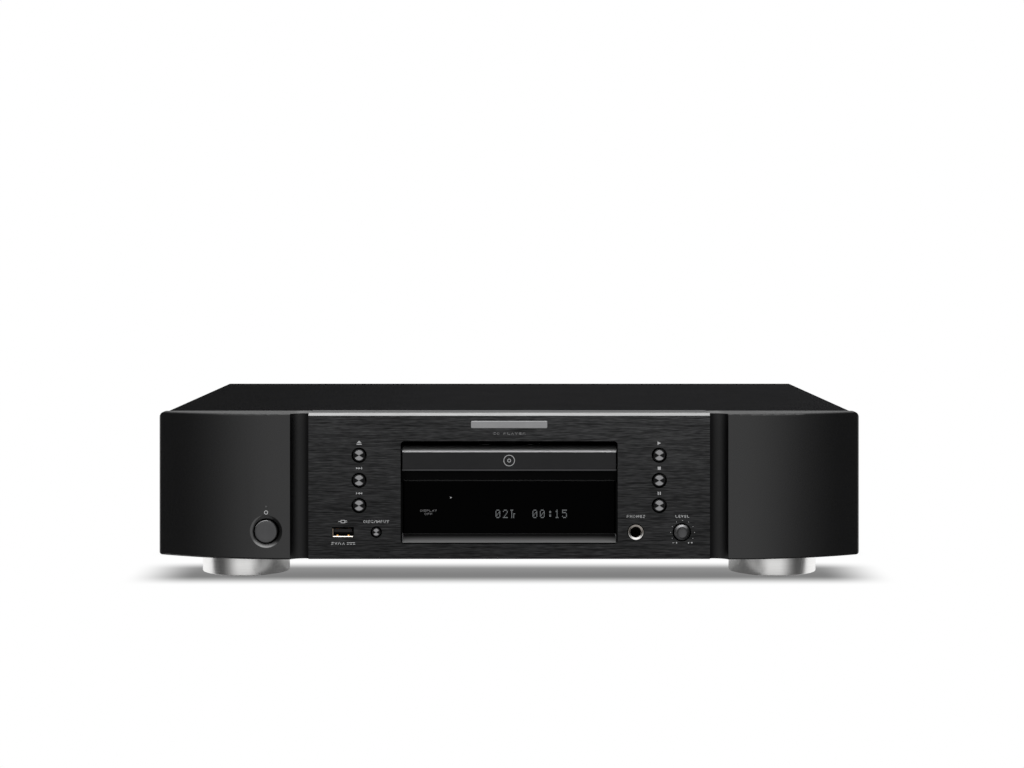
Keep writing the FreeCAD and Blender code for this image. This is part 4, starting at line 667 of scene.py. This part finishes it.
for finish, nodes in PAINT:
    for node in nodes.split():
        part = frame["nodes"][node]
        if not part.material_slots:
            part.data.materials.append(finish.material)
        for slot in part.material_slots:
            slot.material = finish.material

# ---------- making pieces


def finished(name, build, finish, body, sharp=35):
    """Turns a bmesh, drawn in mm, into a piece that rides on a body and takes the given finish."""
    bmesh.ops.scale(build, vec=(MM,) * 3, verts=build.verts)
    bmesh.ops.recalc_face_normals(build, faces=build.faces)
    mesh = bpy.data.meshes.new(name)
    build.to_mesh(mesh)
    build.free()
    mesh.polygons.foreach_set("use_smooth", [True] * len(mesh.polygons))
    mesh.set_sharp_from_angle(angle=math.radians(sharp))
    mesh.materials.append(finish.material)
    piece = bpy.data.objects.new(name, mesh)
    scene.collection.objects.link(piece)
    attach(piece, body)
    return piece


def disc(across, up, radius, count=16):
    """The points of a circle, by its centre."""
    angles = (math.tau * i / count for i in range(count))
    return [(across + radius * math.cos(angle), up + radius * math.sin(angle)) for angle in angles]


def lathe(name, profile, places, finish, body="casing", slot="socket_metal", segments=72, axis=(0, -1, 0)):
    """Turned pieces, one at each place in mm. The profile is (radius, distance along the axis) in mm. It runs
    from radius 0 to radius 0 for a solid piece, or round a closed loop for a ring."""
    build = bmesh.new()
    grain = build.loops.layers.uv.new("turned")
    ring = profile[0][0] > 0
    points = profile + profile[:1] if ring else profile
    travel = [0.0]
    for (r0, h0), (r1, h1) in zip(points, points[1:]):
        travel.append(travel[-1] + math.hypot(r1 - r0, h1 - h0))
    for place in places:
        put = Matrix.Translation(Vector(place)) @ Vector(axis).to_track_quat("Z", "Y").to_matrix().to_4x4()
        rows = []
        for radius, reach in profile:
            if radius == 0:
                rows.append([build.verts.new(put @ Vector((0, 0, reach)))] * segments)
                continue
            circle = disc(0, 0, radius, segments)
            rows.append([build.verts.new(put @ Vector((x, y, reach))) for x, y in circle])
        if ring:
            rows.append(rows[0])
        for k, (near, far) in enumerate(zip(rows, rows[1:])):
            for i in range(segments):
                j = (i + 1) % segments
                corners = [(near[i], i, k), (near[j], i + 1, k), (far[j], i + 1, k + 1), (far[i], i, k + 1)]
                if near[0] is near[1]:
                    corners.pop(1)
                elif far[0] is far[1]:
                    corners.pop(2)
                face = build.faces.new([vert for vert, _, _ in corners])
                for loop, (_, turns, level) in zip(face.loops, corners):
                    loop[grain].uv = (turns / segments, travel[level] * MM)
    return finished(name, build, finish, body)


PRINT = 0.02  # how far printed marks stand proud


def add_slab(build, loops):
    """Closes two matching loops of points with a face on each and a wall between them."""
    back, front = ([build.verts.new(point) for point in loop] for loop in loops)
    build.faces.new(back)
    build.faces.new(list(reversed(front)))
    for i in range(len(back)):
        j = (i + 1) % len(back)
        build.faces.new([back[j], back[i], front[i], front[j]])


def printed(name, outlines, x, y, z, finish=legend_ink, towards=-1, turn=0.0):
    """Flat marks on a face that looks towards -Y (towards -1) or +Y (towards 1). The outlines are points
    (across, up) in mm about the mark's centre. turn swings them about Z, in radians, onto a side face."""
    build = bmesh.new()
    put = Matrix.Translation(Vector((x, y, z))) @ Matrix.Rotation(turn, 4, "Z")
    for outline in outlines:
        add_slab(build, [[put @ Vector((-towards * across, out, up)) for across, up in outline]
                         for out in (0, towards * PRINT)])
    finished(name, build, finish, "casing")


def ring_mark(name, inner, outer, place, body="casing", **more):
    """A printed ring."""
    profile = [(inner, 0), (outer, 0), (outer, PRINT), (inner, PRINT)]
    lathe(name, profile, [place], legend_ink, body, "badge_metal", **more)


def bar(across, up, width, height):
    """The outline of an upright rectangle, by its centre and size."""
    w, h = width / 2, height / 2
    return [(across - w, up - h), (across + w, up - h), (across + w, up + h), (across - w, up + h)]


CAP_HEIGHT = 0.729  # of the built-in font's size


def lettering(name, words, x, z, cap, width):
    """Words on the rear panel with a cap height and an overall width in mm, centred on x and z."""
    curve = bpy.data.curves.new(name, "FONT")
    curve.body = words
    curve.offset = 0.015  # a little heavier than the font
    curve.extrude = 0.5
    sample = bpy.data.objects.new(name + "_text", curve)
    mesh = bpy.data.meshes.new_from_object(sample)
    build = bmesh.new()
    build.from_mesh(mesh)
    bpy.data.objects.remove(sample)
    bpy.data.meshes.remove(mesh)
    bmesh.ops.remove_doubles(build, verts=build.verts, dist=0.0002)
    left = min(vert.co.x for vert in build.verts)
    right = max(vert.co.x for vert in build.verts)
    tall = cap / CAP_HEIGHT
    for vert in build.verts:
        across = (vert.co.x - (left + right) / 2) * width / (right - left)
        up = (vert.co.y - CAP_HEIGHT / 2) * tall
        out = (vert.co.z + 0.5) * PRINT
        vert.co = Vector((x - across, REAR + out, z + up))
    finished(name, build, legend_ink, "casing")


BOW = [(0, 0), (0, 1), (0.85, 1), (1, 0.85), (1, 0.55), (0.85, 0.4), (0, 0.4)]
STROKES = {
    "A": [[(0, 0), (0.5, 1), (1, 0)], [(0.2, 0.33), (0.8, 0.33)]],
    "C": [[(1, 0), (0.15, 0), (0, 0.2), (0, 0.8), (0.15, 1), (1, 1)]],
    "D": [[(0, 0), (0, 1), (0.75, 1), (1, 0.75), (1, 0.25), (0.75, 0), (0, 0)]],
    "E": [[(1, 0), (0, 0), (0, 1), (1, 1)], [(0, 0.5), (0.9, 0.5)]],
    "F": [[(0, 0), (0, 1), (1, 1)], [(0, 0.5), (0.85, 0.5)]],
    "H": [[(0, 0), (0, 1)], [(1, 0), (1, 1)], [(0, 0.5), (1, 0.5)]],
    "I": [[(0, 0), (0, 1)]],
    "L": [[(0, 1), (0, 0), (1, 0)]],
    "N": [[(0, 0), (0, 1), (1, 0), (1, 1)]],
    "O": [[(0.2, 0), (0, 0.25), (0, 0.75), (0.2, 1), (0.8, 1), (1, 0.75), (1, 0.25), (0.8, 0), (0.2, 0)]],
    "P": [BOW],
    "R": [BOW, [(0.6, 0.4), (1, 0)]],
    "S": [[(0, 0), (0.9, 0), (1, 0.12), (1, 0.38), (0.9, 0.5), (0.1, 0.5), (0, 0.62), (0, 0.88), (0.1, 1),
           (1, 1)]],
    "T": [[(0, 1), (1, 1)], [(0.5, 1), (0.5, 0)]],
    "U": [[(0, 1), (0, 0.2), (0.15, 0), (0.85, 0), (1, 0.2), (1, 1)]],
    "V": [[(0, 1), (0.5, 0), (1, 1)]],
    "Y": [[(0, 1), (0.5, 0.5), (1, 1)], [(0.5, 0.5), (0.5, 0)]],
    "1": [[(0, 0.8), (0.3, 1), (0.3, 0)]],
    "5": [[(0, 0), (0.85, 0), (1, 0.15), (1, 0.45), (0.85, 0.6), (0, 0.6), (0, 1), (1, 1)]],
    "/": [[(0, 0), (1, 1)]],
}
NARROW = {"I": 0.0, "1": 0.35, "/": 0.6, " ": 0.5}  # these letters' widths, as shares of the others'
STROKE, GAP = 0.33, 0.50  # a letter's line, and the space between letters


def drawn(name, words, x, y, z, cap, width, finish=legend_ink, stroke=STROKE, gap=GAP):
    """Wide drawn capitals with an even stroke, on a face that looks forwards."""
    shares = [NARROW.get(letter, 1.0) for letter in words]
    each = (width - stroke - (stroke + gap) * (len(words) - 1)) / sum(shares)
    high = cap - stroke
    outlines = []
    left = (stroke - width) / 2
    for letter, share in zip(words, shares):
        for line in STROKES.get(letter, []):
            points = [Vector((left + px * each * share, (py - 0.5) * high)) for px, py in line]
            for start, end in zip(points, points[1:]):
                along = (end - start).normalized() * stroke / 2
                over = Vector((-along.y, along.x))
                outlines.append([start - along - over, end + along - over,
                                 end + along + over, start - along + over])
        left += each * share + stroke + gap
    printed(name, outlines, x, y, z, finish)


# ---------- controls

KEY_RIM = 1.6  # from a key's flange in to the plate's hole
LARGE_FLANGE = 5.5  # keys with wider flanges than this have the wider gap
WIDE_GAP, NARROW_GAP = 0.75, 0.6  # from the plate's hole in to the cap


def make_key_caps():
    """A spun metal cap in a black surround, in place of each plain key."""
    for key in KEYS:
        low, high = span(key)
        middle = (low + high) / 2
        flange = (high.x - low.x) / 2
        cap = flange - KEY_RIM - (WIDE_GAP if flange > LARGE_FLANGE else NARROW_GAP)
        face = cap - 0.60
        end = low.y - high.y
        places = [(middle.x, low.y, middle.z)]
        body = lathe(key + "_body", [
            (0, end), (1.5, end), (1.5, -11.6), (flange, -11.6), (flange, -10.6), (cap, -10.6), (cap, -0.55),
            (cap - 0.12, -0.30), (face + 0.12, 0), (face, 0), (face, -0.3), (0, -0.3),
        ], places, key_black, key, "key_metal")
        lathe(key + "_face", [
            (0, -0.3), (face - 0.04, -0.3), (face - 0.04, -0.04), (face - 0.22, 0.12), (face * 0.5, 0),
            (0, -0.08),
        ], places, key_silver, key, "key_metal")
        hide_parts(key)


POWER_RADIUS = 6.95


def make_power_button():
    """The round power key in its dish, with a turned rim that carries a painted highlight."""
    low, high = span("power_button")
    end = low.y - high.y
    radius = POWER_RADIUS
    button = lathe("power_key", [
        (0, end), (2.9, end), (2.9, -7.4), (8.8, -7.4), (8.8, -6.0), (radius, -6.0), (radius, -0.52),
        (radius - 0.06, -0.40), (radius - 0.40, -0.04), (radius - 0.52, 0), (radius - 2.5, -0.10), (0, -0.22),
    ], [(power.x, low.y, power.z)], power_black, "power_button", "power_key", segments=96)
    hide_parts("power_button")


def make_level_knob():
    """A tapering skirt with a smaller turned cap, drawn from the plate's front."""
    low, high = span("level_knob")
    end, tip = FACE - high.y, FACE - low.y
    places = [(knob.x, FACE, knob.z)]
    skirt = lathe("level_skirt", [
        (0, end), (2.9, end), (2.9, -6.5), (4.7, -6.5), (4.9, 0.4), (4.88, 1.5), (4.75, 1.75), (3.65, 2.75),
        (3.45, 2.82), (3.3, 2.7), (0, 2.7),
    ], places, knob_skirt, "level_knob", "knob_metal")
    lathe("level_cap", [
        (0, 2.5), (3.05, 2.5), (3.05, tip - 0.35), (2.95, tip - 0.1), (2.75, tip), (2.5, tip - 0.1),
        (0, tip - 0.2),
    ], places, knob_cap, "level_knob", "knob_metal")
    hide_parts("level_knob")


KEY_RISE = 7.5  # from a key's centre up to its symbol
LEGEND_CAP = 1.65  # the height of the front's capitals
CLOSE = 0.38  # the gap between the letters of the longer words


def triangle(across, up, width, height, point):
    """A triangle that points left (-1) or right (1)."""
    w, h = width / 2 * point, height / 2
    return [(across - w, up - h), (across + w, up), (across - w, up + h)]


SYMBOLS = {
    "eject": [[(-1.45, 0.12), (1.45, 0.12), (0, 1.52)], bar(0, -0.68, 3.0, 0.62)],
    "skip_forward": [triangle(-1.15, 0, 1.5, 1.3, 1), triangle(0.35, 0, 1.5, 1.3, 1), bar(1.6, 0, 0.45, 1.3)],
    "skip_back": [triangle(1.15, 0, 1.5, 1.3, -1), triangle(-0.35, 0, 1.5, 1.3, -1), bar(-1.6, 0, 0.45, 1.3)],
    "play": [triangle(0, 0, 2.2, 2.1, 1)],
    "stop": [bar(0, 0, 1.9, 1.9)],
    "pause": [bar(-0.62, 0, 0.68, 1.9), bar(0.62, 0, 0.68, 1.9)],
}


def make_legends():
    """Printed symbols and words on the plate."""
    for symbol in KEY_SYMBOLS:
        middle = centre(symbol + "_button")
        printed("mark_" + symbol, SYMBOLS[symbol], middle.x, FACE, middle.z + KEY_RISE)
    small = centre("disc_input_button")
    above, below = knob.z + 9.7, usb.z - 7.0
    for name, words, x, z, width, gap in (
            ("word_phones", "PHONES", jack.x + 0.1, above, 11.4, GAP),
            ("word_level", "LEVEL", knob.x + 0.3, above, 8.5, GAP),
            ("word_disc_input", "DISC/INPUT", small.x, small.z + 6.5, 15.8, CLOSE),
            ("word_rating", "5V/1A", usb.x - 3.0, below, 8.4, CLOSE)):
        drawn(name, words, x, FACE, z, LEGEND_CAP, width, gap=gap)
    dashes = [bar(across, -0.5, 1.3, 0.36) for across in (-1.9, 0, 1.9)]
    printed("mark_direct_current", [bar(0, 0.45, 5.1, 0.36)] + dashes, usb.x + 5.0, FACE, below)
    plug = [bar(-2.1, 0, 1.5, 0.42), bar(0, 0.75, 2.7, 0.4), bar(0, -0.75, 2.7, 0.4), bar(-1.16, 0, 0.4, 1.1),
            bar(1.16, 0, 0.4, 1.1), bar(1.95, 0.4, 1.2, 0.34), bar(1.95, -0.4, 1.2, 0.34)]
    printed("mark_port", plug, usb.x, FACE, usb.z + 6.5)
    drawn("word_cd_player", "CD PLAYER", 0, FACE, centre("badge").z - 5.5, 1.35, 20.0, faint_ink, gap=0.7)


SCALE_RADIUS = 7.4
SCALE_STEPS = 5  # dots on each side of the top one
STEP_TURN = math.radians(30)
SCALE_ENDS = (5.7, -6.35)  # the minus and the plus, across and up from the scale's middle


def make_level_scale():
    """Eleven dots round the level knob, with a minus and a plus at the ends of the scale."""
    dots = []
    for step in range(-SCALE_STEPS, SCALE_STEPS + 1):
        angle = STEP_TURN * step
        size = 0.44 if abs(step) == SCALE_STEPS else 0.21
        dots.append(disc(SCALE_RADIUS * math.sin(angle), SCALE_RADIUS * math.cos(angle), size))
    out, up = SCALE_ENDS
    signs = [bar(-out, up, 1.2, 0.34), bar(out, up, 1.2, 0.34), bar(out, up + 0.39, 0.34, 0.44),
             bar(out, up - 0.39, 0.34, 0.44)]
    for name, marks in (("level_dots", dots), ("level_signs", signs)):
        printed(name, marks, knob.x + 0.5, FACE, knob.z - 0.2)


# ---------- display

DOT_SHAPES = {
    "0": "01110 10001 10011 10101 11001 10001 01110",
    "1": "00100 01100 00100 00100 00100 00100 01110",
    "2": "01110 10001 00001 00010 00100 01000 11111",
    "5": "11111 10000 11110 00001 00001 10001 01110",
    ":": "00000 00110 00110 00000 00110 00110 00000",
    "track": "11100 01000 01000 01011 01010 01010 01010",
}
DOT_PITCH_ACROSS = 0.60
DOT_PITCH_UP = 0.76
DOT_GAP = 0.18
CHARACTER_PITCH = 4.6


def make_digits(name, characters, left, z):
    """Dot-matrix characters just in front of the display window."""
    dots = []
    for place, character in enumerate(characters):
        for row, line in enumerate(DOT_SHAPES[character].split()):
            for column, lit in enumerate(line):
                if lit == "1":
                    across = left + place * CHARACTER_PITCH + (column + 0.5) * DOT_PITCH_ACROSS
                    up = (3 - row) * DOT_PITCH_UP
                    dots.append(bar(across, up, DOT_PITCH_ACROSS - DOT_GAP, DOT_PITCH_UP - DOT_GAP))
    printed(name, dots, 0, window_low.y, z, digit_glow)


DISPLAY_RISE = 12.76  # from the window's lower edge to the middle of the characters


def make_display():
    """The track and time, the window's small marks, and the disc mark on the tray's front."""
    line = window_low.z + DISPLAY_RISE
    make_digits("display_track", ["0", "2", "track"], -8.5, line)
    make_digits("display_time", ["0", "0", ":", "1", "5"], 14.45, line)
    for name, word, up, width in (("word_display", "DISPLAY", 2.0, 10.4), ("word_off", "OFF", -0.05, 5.0)):
        drawn(name, word, -50.1, window_low.y, line + up, 1.25, width, faint_ink, stroke=0.22, gap=0.36)
    printed("mark_remote", [triangle(0, 0, 1.0, 1.1, 1)], -36.1, window_low.y, line + 10.1)
    for name, inner in (("tray_mark_ring", 3.1), ("tray_mark_hub", 0.75)):
        ring_mark(name, inner, inner + 0.4, (0, tray_low.y, tray_low.z + 6.4), "tray")


WING_RADIUS = 160
WING_START = 135.4  # where the wing begins to curve back


def make_standby_mark():
    """A small ring above the power key, set square to the wing's curve."""
    turn = -math.asin((abs(power.x) - WING_START) / WING_RADIUS)
    y = WING_FRONT + WING_RADIUS * (1 - math.cos(turn))
    axis = (math.sin(turn), -math.cos(turn), 0)
    ring_mark("standby_ring", 0.80, 1.28, (power.x, y, power.z + 11.7), axis=axis)


# ---------- feet

def make_feet():
    """Turned aluminium feet, in place of the plain ones."""
    low, high = span("feet")
    radius = FOOT_RADIUS
    places = [(x * (high.x - radius), y * (high.y - radius), 0) for x in (-1, 1) for y in (-1, 1)]
    top, bottom = high.z, low.z
    feet = lathe("turned_feet", [
        (2.1, 8.0), (5.0, 8.0), (5.0, bottom + 2.4), (24.5, bottom + 2.4), (24.5, bottom + 0.15),
        (24.7, bottom), (radius - 0.7, bottom), (radius - 0.2, bottom + 0.18), (radius, bottom + 0.6),
        (radius, top - 1.5), (radius - 0.3, top - 0.5), (radius - 1.0, top), (2.1, top),
    ], places, foot_silver, slot="foot_aluminium", segments=160, axis=(0, 0, 1))
    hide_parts("feet")


# ---------- sockets

def make_jack_ferrule():
    """The jack's plated ferrule, open towards the front."""
    lathe("jack_ferrule", [
        (3.45, 0.0), (3.45, 0.12), (4.38, 0.86), (4.62, 0.90), (4.90, 0.40), (4.90, -0.05), (4.80, -0.05),
    ], [(jack.x, FACE, jack.z)], ferrule_metal, slot="jack_metal", segments=96)


def make_usb_shell():
    """The folded steel shell of the USB port, flared at its mouth, with two springs that grip the plug."""
    low, high = span("usb_port")
    outer = [(-6.4, -2.90), (6.2, -2.90), (6.2, 2.20), (-6.4, 2.20)]
    inner = [(-5.9, -2.45), (6.05, -2.45), (6.05, 2.05), (-5.9, 2.05)]
    spring = [(1.2, -2.50), (3.8, -2.50), (3.1, -1.70), (2.4, -1.50), (1.6, -1.90)]
    build = bmesh.new()

    def ring(corners, y):
        return [build.verts.new((usb.x + x, y, usb.z + z)) for x, z in corners]

    flare = [build.verts.new((usb.x + x, low.y + (0.05 if x < 0 else 0.6), usb.z + z)) for x, z in inner]
    flare[0].co.y = low.y + 0.3
    rings = [ring(outer, high.y), ring(outer, low.y), flare, ring(inner, high.y - 0.8)]
    for back, front in zip(rings, rings[1:]):
        for i in range(4):
            j = (i + 1) % 4
            build.faces.new([back[i], back[j], front[j], front[i]])
    build.faces.new(rings[0])
    build.faces.new(list(reversed(rings[-1])))
    for across in (-3.4, 3.4):
        add_slab(build, [[(usb.x + across + half, low.y + y, usb.z + z) for y, z in spring]
                         for half in (-0.55, 0.55)])
    shell = finished("usb_shell", build, usb_metal, "casing", sharp=20)
    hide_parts("usb_port")


# ---------- rear

def make_rear_details():
    """Coloured rings in the phono sockets, and words beside every socket."""
    inserts = {"analog_left": plastic("white_plastic", (0.62, 0.62, 0.60), rough=0.4),
               "analog_right": plastic("red_plastic", (0.42, 0.02, 0.02), rough=0.4),
               "coaxial_out": plastic("orange_plastic", (0.60, 0.20, 0.02), rough=0.4),
               "remote_in": black_plastic, "remote_out": black_plastic}
    reach = span("phono_sockets")[1].y
    for name, finish in inserts.items():
        place = MOUNTS[name]
        lathe(name + "_ring", [(1.75, -0.3), (3.4, -0.3), (3.4, 0.06), (1.75, 0.06)],
              [(place.x, reach, place.z)], finish, axis=(0, 1, 0))
    coaxial = MOUNTS["coaxial_out"]
    halfway = (MOUNTS["optical_out"].x - coaxial.x) / 2
    # each word with its mount, how far across and up it is from there, and its height and width
    for piece, words, mount, across, up, cap, width in (
            ("word_left", "L", "analog_left", 8.5, 0, 2.0, 1.4),
            ("word_right", "R", "analog_right", 8.5, 0, 2.0, 1.6),
            ("word_in", "IN", "remote_in", -8.8, 0, 2.0, 2.6),
            ("word_out", "OUT", "remote_out", -9.6, 0, 2.0, 4.6),
            ("word_coaxial", "COAXIAL", "coaxial_out", 0, 10.5, 1.8, 10.5),
            ("word_optical", "OPTICAL", "optical_out", 0, 10.5, 1.8, 10.0),
            ("word_mains", "AC IN", "mains_inlet", 0, 16.5, 2.2, 8.5),
            ("word_analog", "ANALOG OUT", "analog_left", 0, 10.5, 1.8, 17.0),
            ("word_remote", "REMOTE CONTROL", "remote_in", 0, 10.5, 1.8, 23.5),
            ("word_digital", "DIGITAL OUT", "coaxial_out", halfway, 15.5, 1.8, 17.5)):
        place = MOUNTS[mount]
        lettering(piece, words, place.x + across, place.z + up, cap, width)
    bracket = [bar(0, 0, 40, 0.3), bar(-20, -0.7, 0.3, 1.4), bar(20, -0.7, 0.3, 1.4)]
    printed("digital_bracket", bracket, coaxial.x + halfway, REAR, coaxial.z + 13.4, towards=1)


HEAD_INSET = 3.6  # from the edge of the outermost screw head to its middle


def make_recesses():
    """Painted shade for the cross recesses in the heads of the lid's screws: dark crosses printed on the
    heads.
    """
    # dark printed crosses: painted shade in place of cut recesses
    cross = [bar(0, 0, 3.4, 0.75), bar(0, 0, 0.75, 3.4)]
    low, high = span("cover_screws")
    for count, x in enumerate((-190, 0, 190)):
        printed(f"rear_recess_{count}", cross, x, high.y, high.z - HEAD_INSET, rubber, towards=1)
    screws = frame["nodes"]["cover_screws"]
    corners = [screws.matrix_world @ vert.co / MM for vert in screws.data.vertices]
    rows = [corner.y for corner in corners if abs(corner.x) > lid_high.x + 0.1]
    for side, word in ((-1, "left"), (1, "right")):
        for y, row in ((min(rows) + HEAD_INSET, "front"), (max(rows) - HEAD_INSET, "back")):
            printed(f"side_recess_{word}_{row}", cross, high.x * side, y, low.z + HEAD_INSET, rubber,
                    turn=side * math.pi / 2)


make_key_caps()
make_power_button()
make_level_knob()
make_jack_ferrule()
make_usb_shell()
make_legends()
make_level_scale()
make_display()
make_standby_mark()
make_feet()
make_rear_details()
make_recesses()
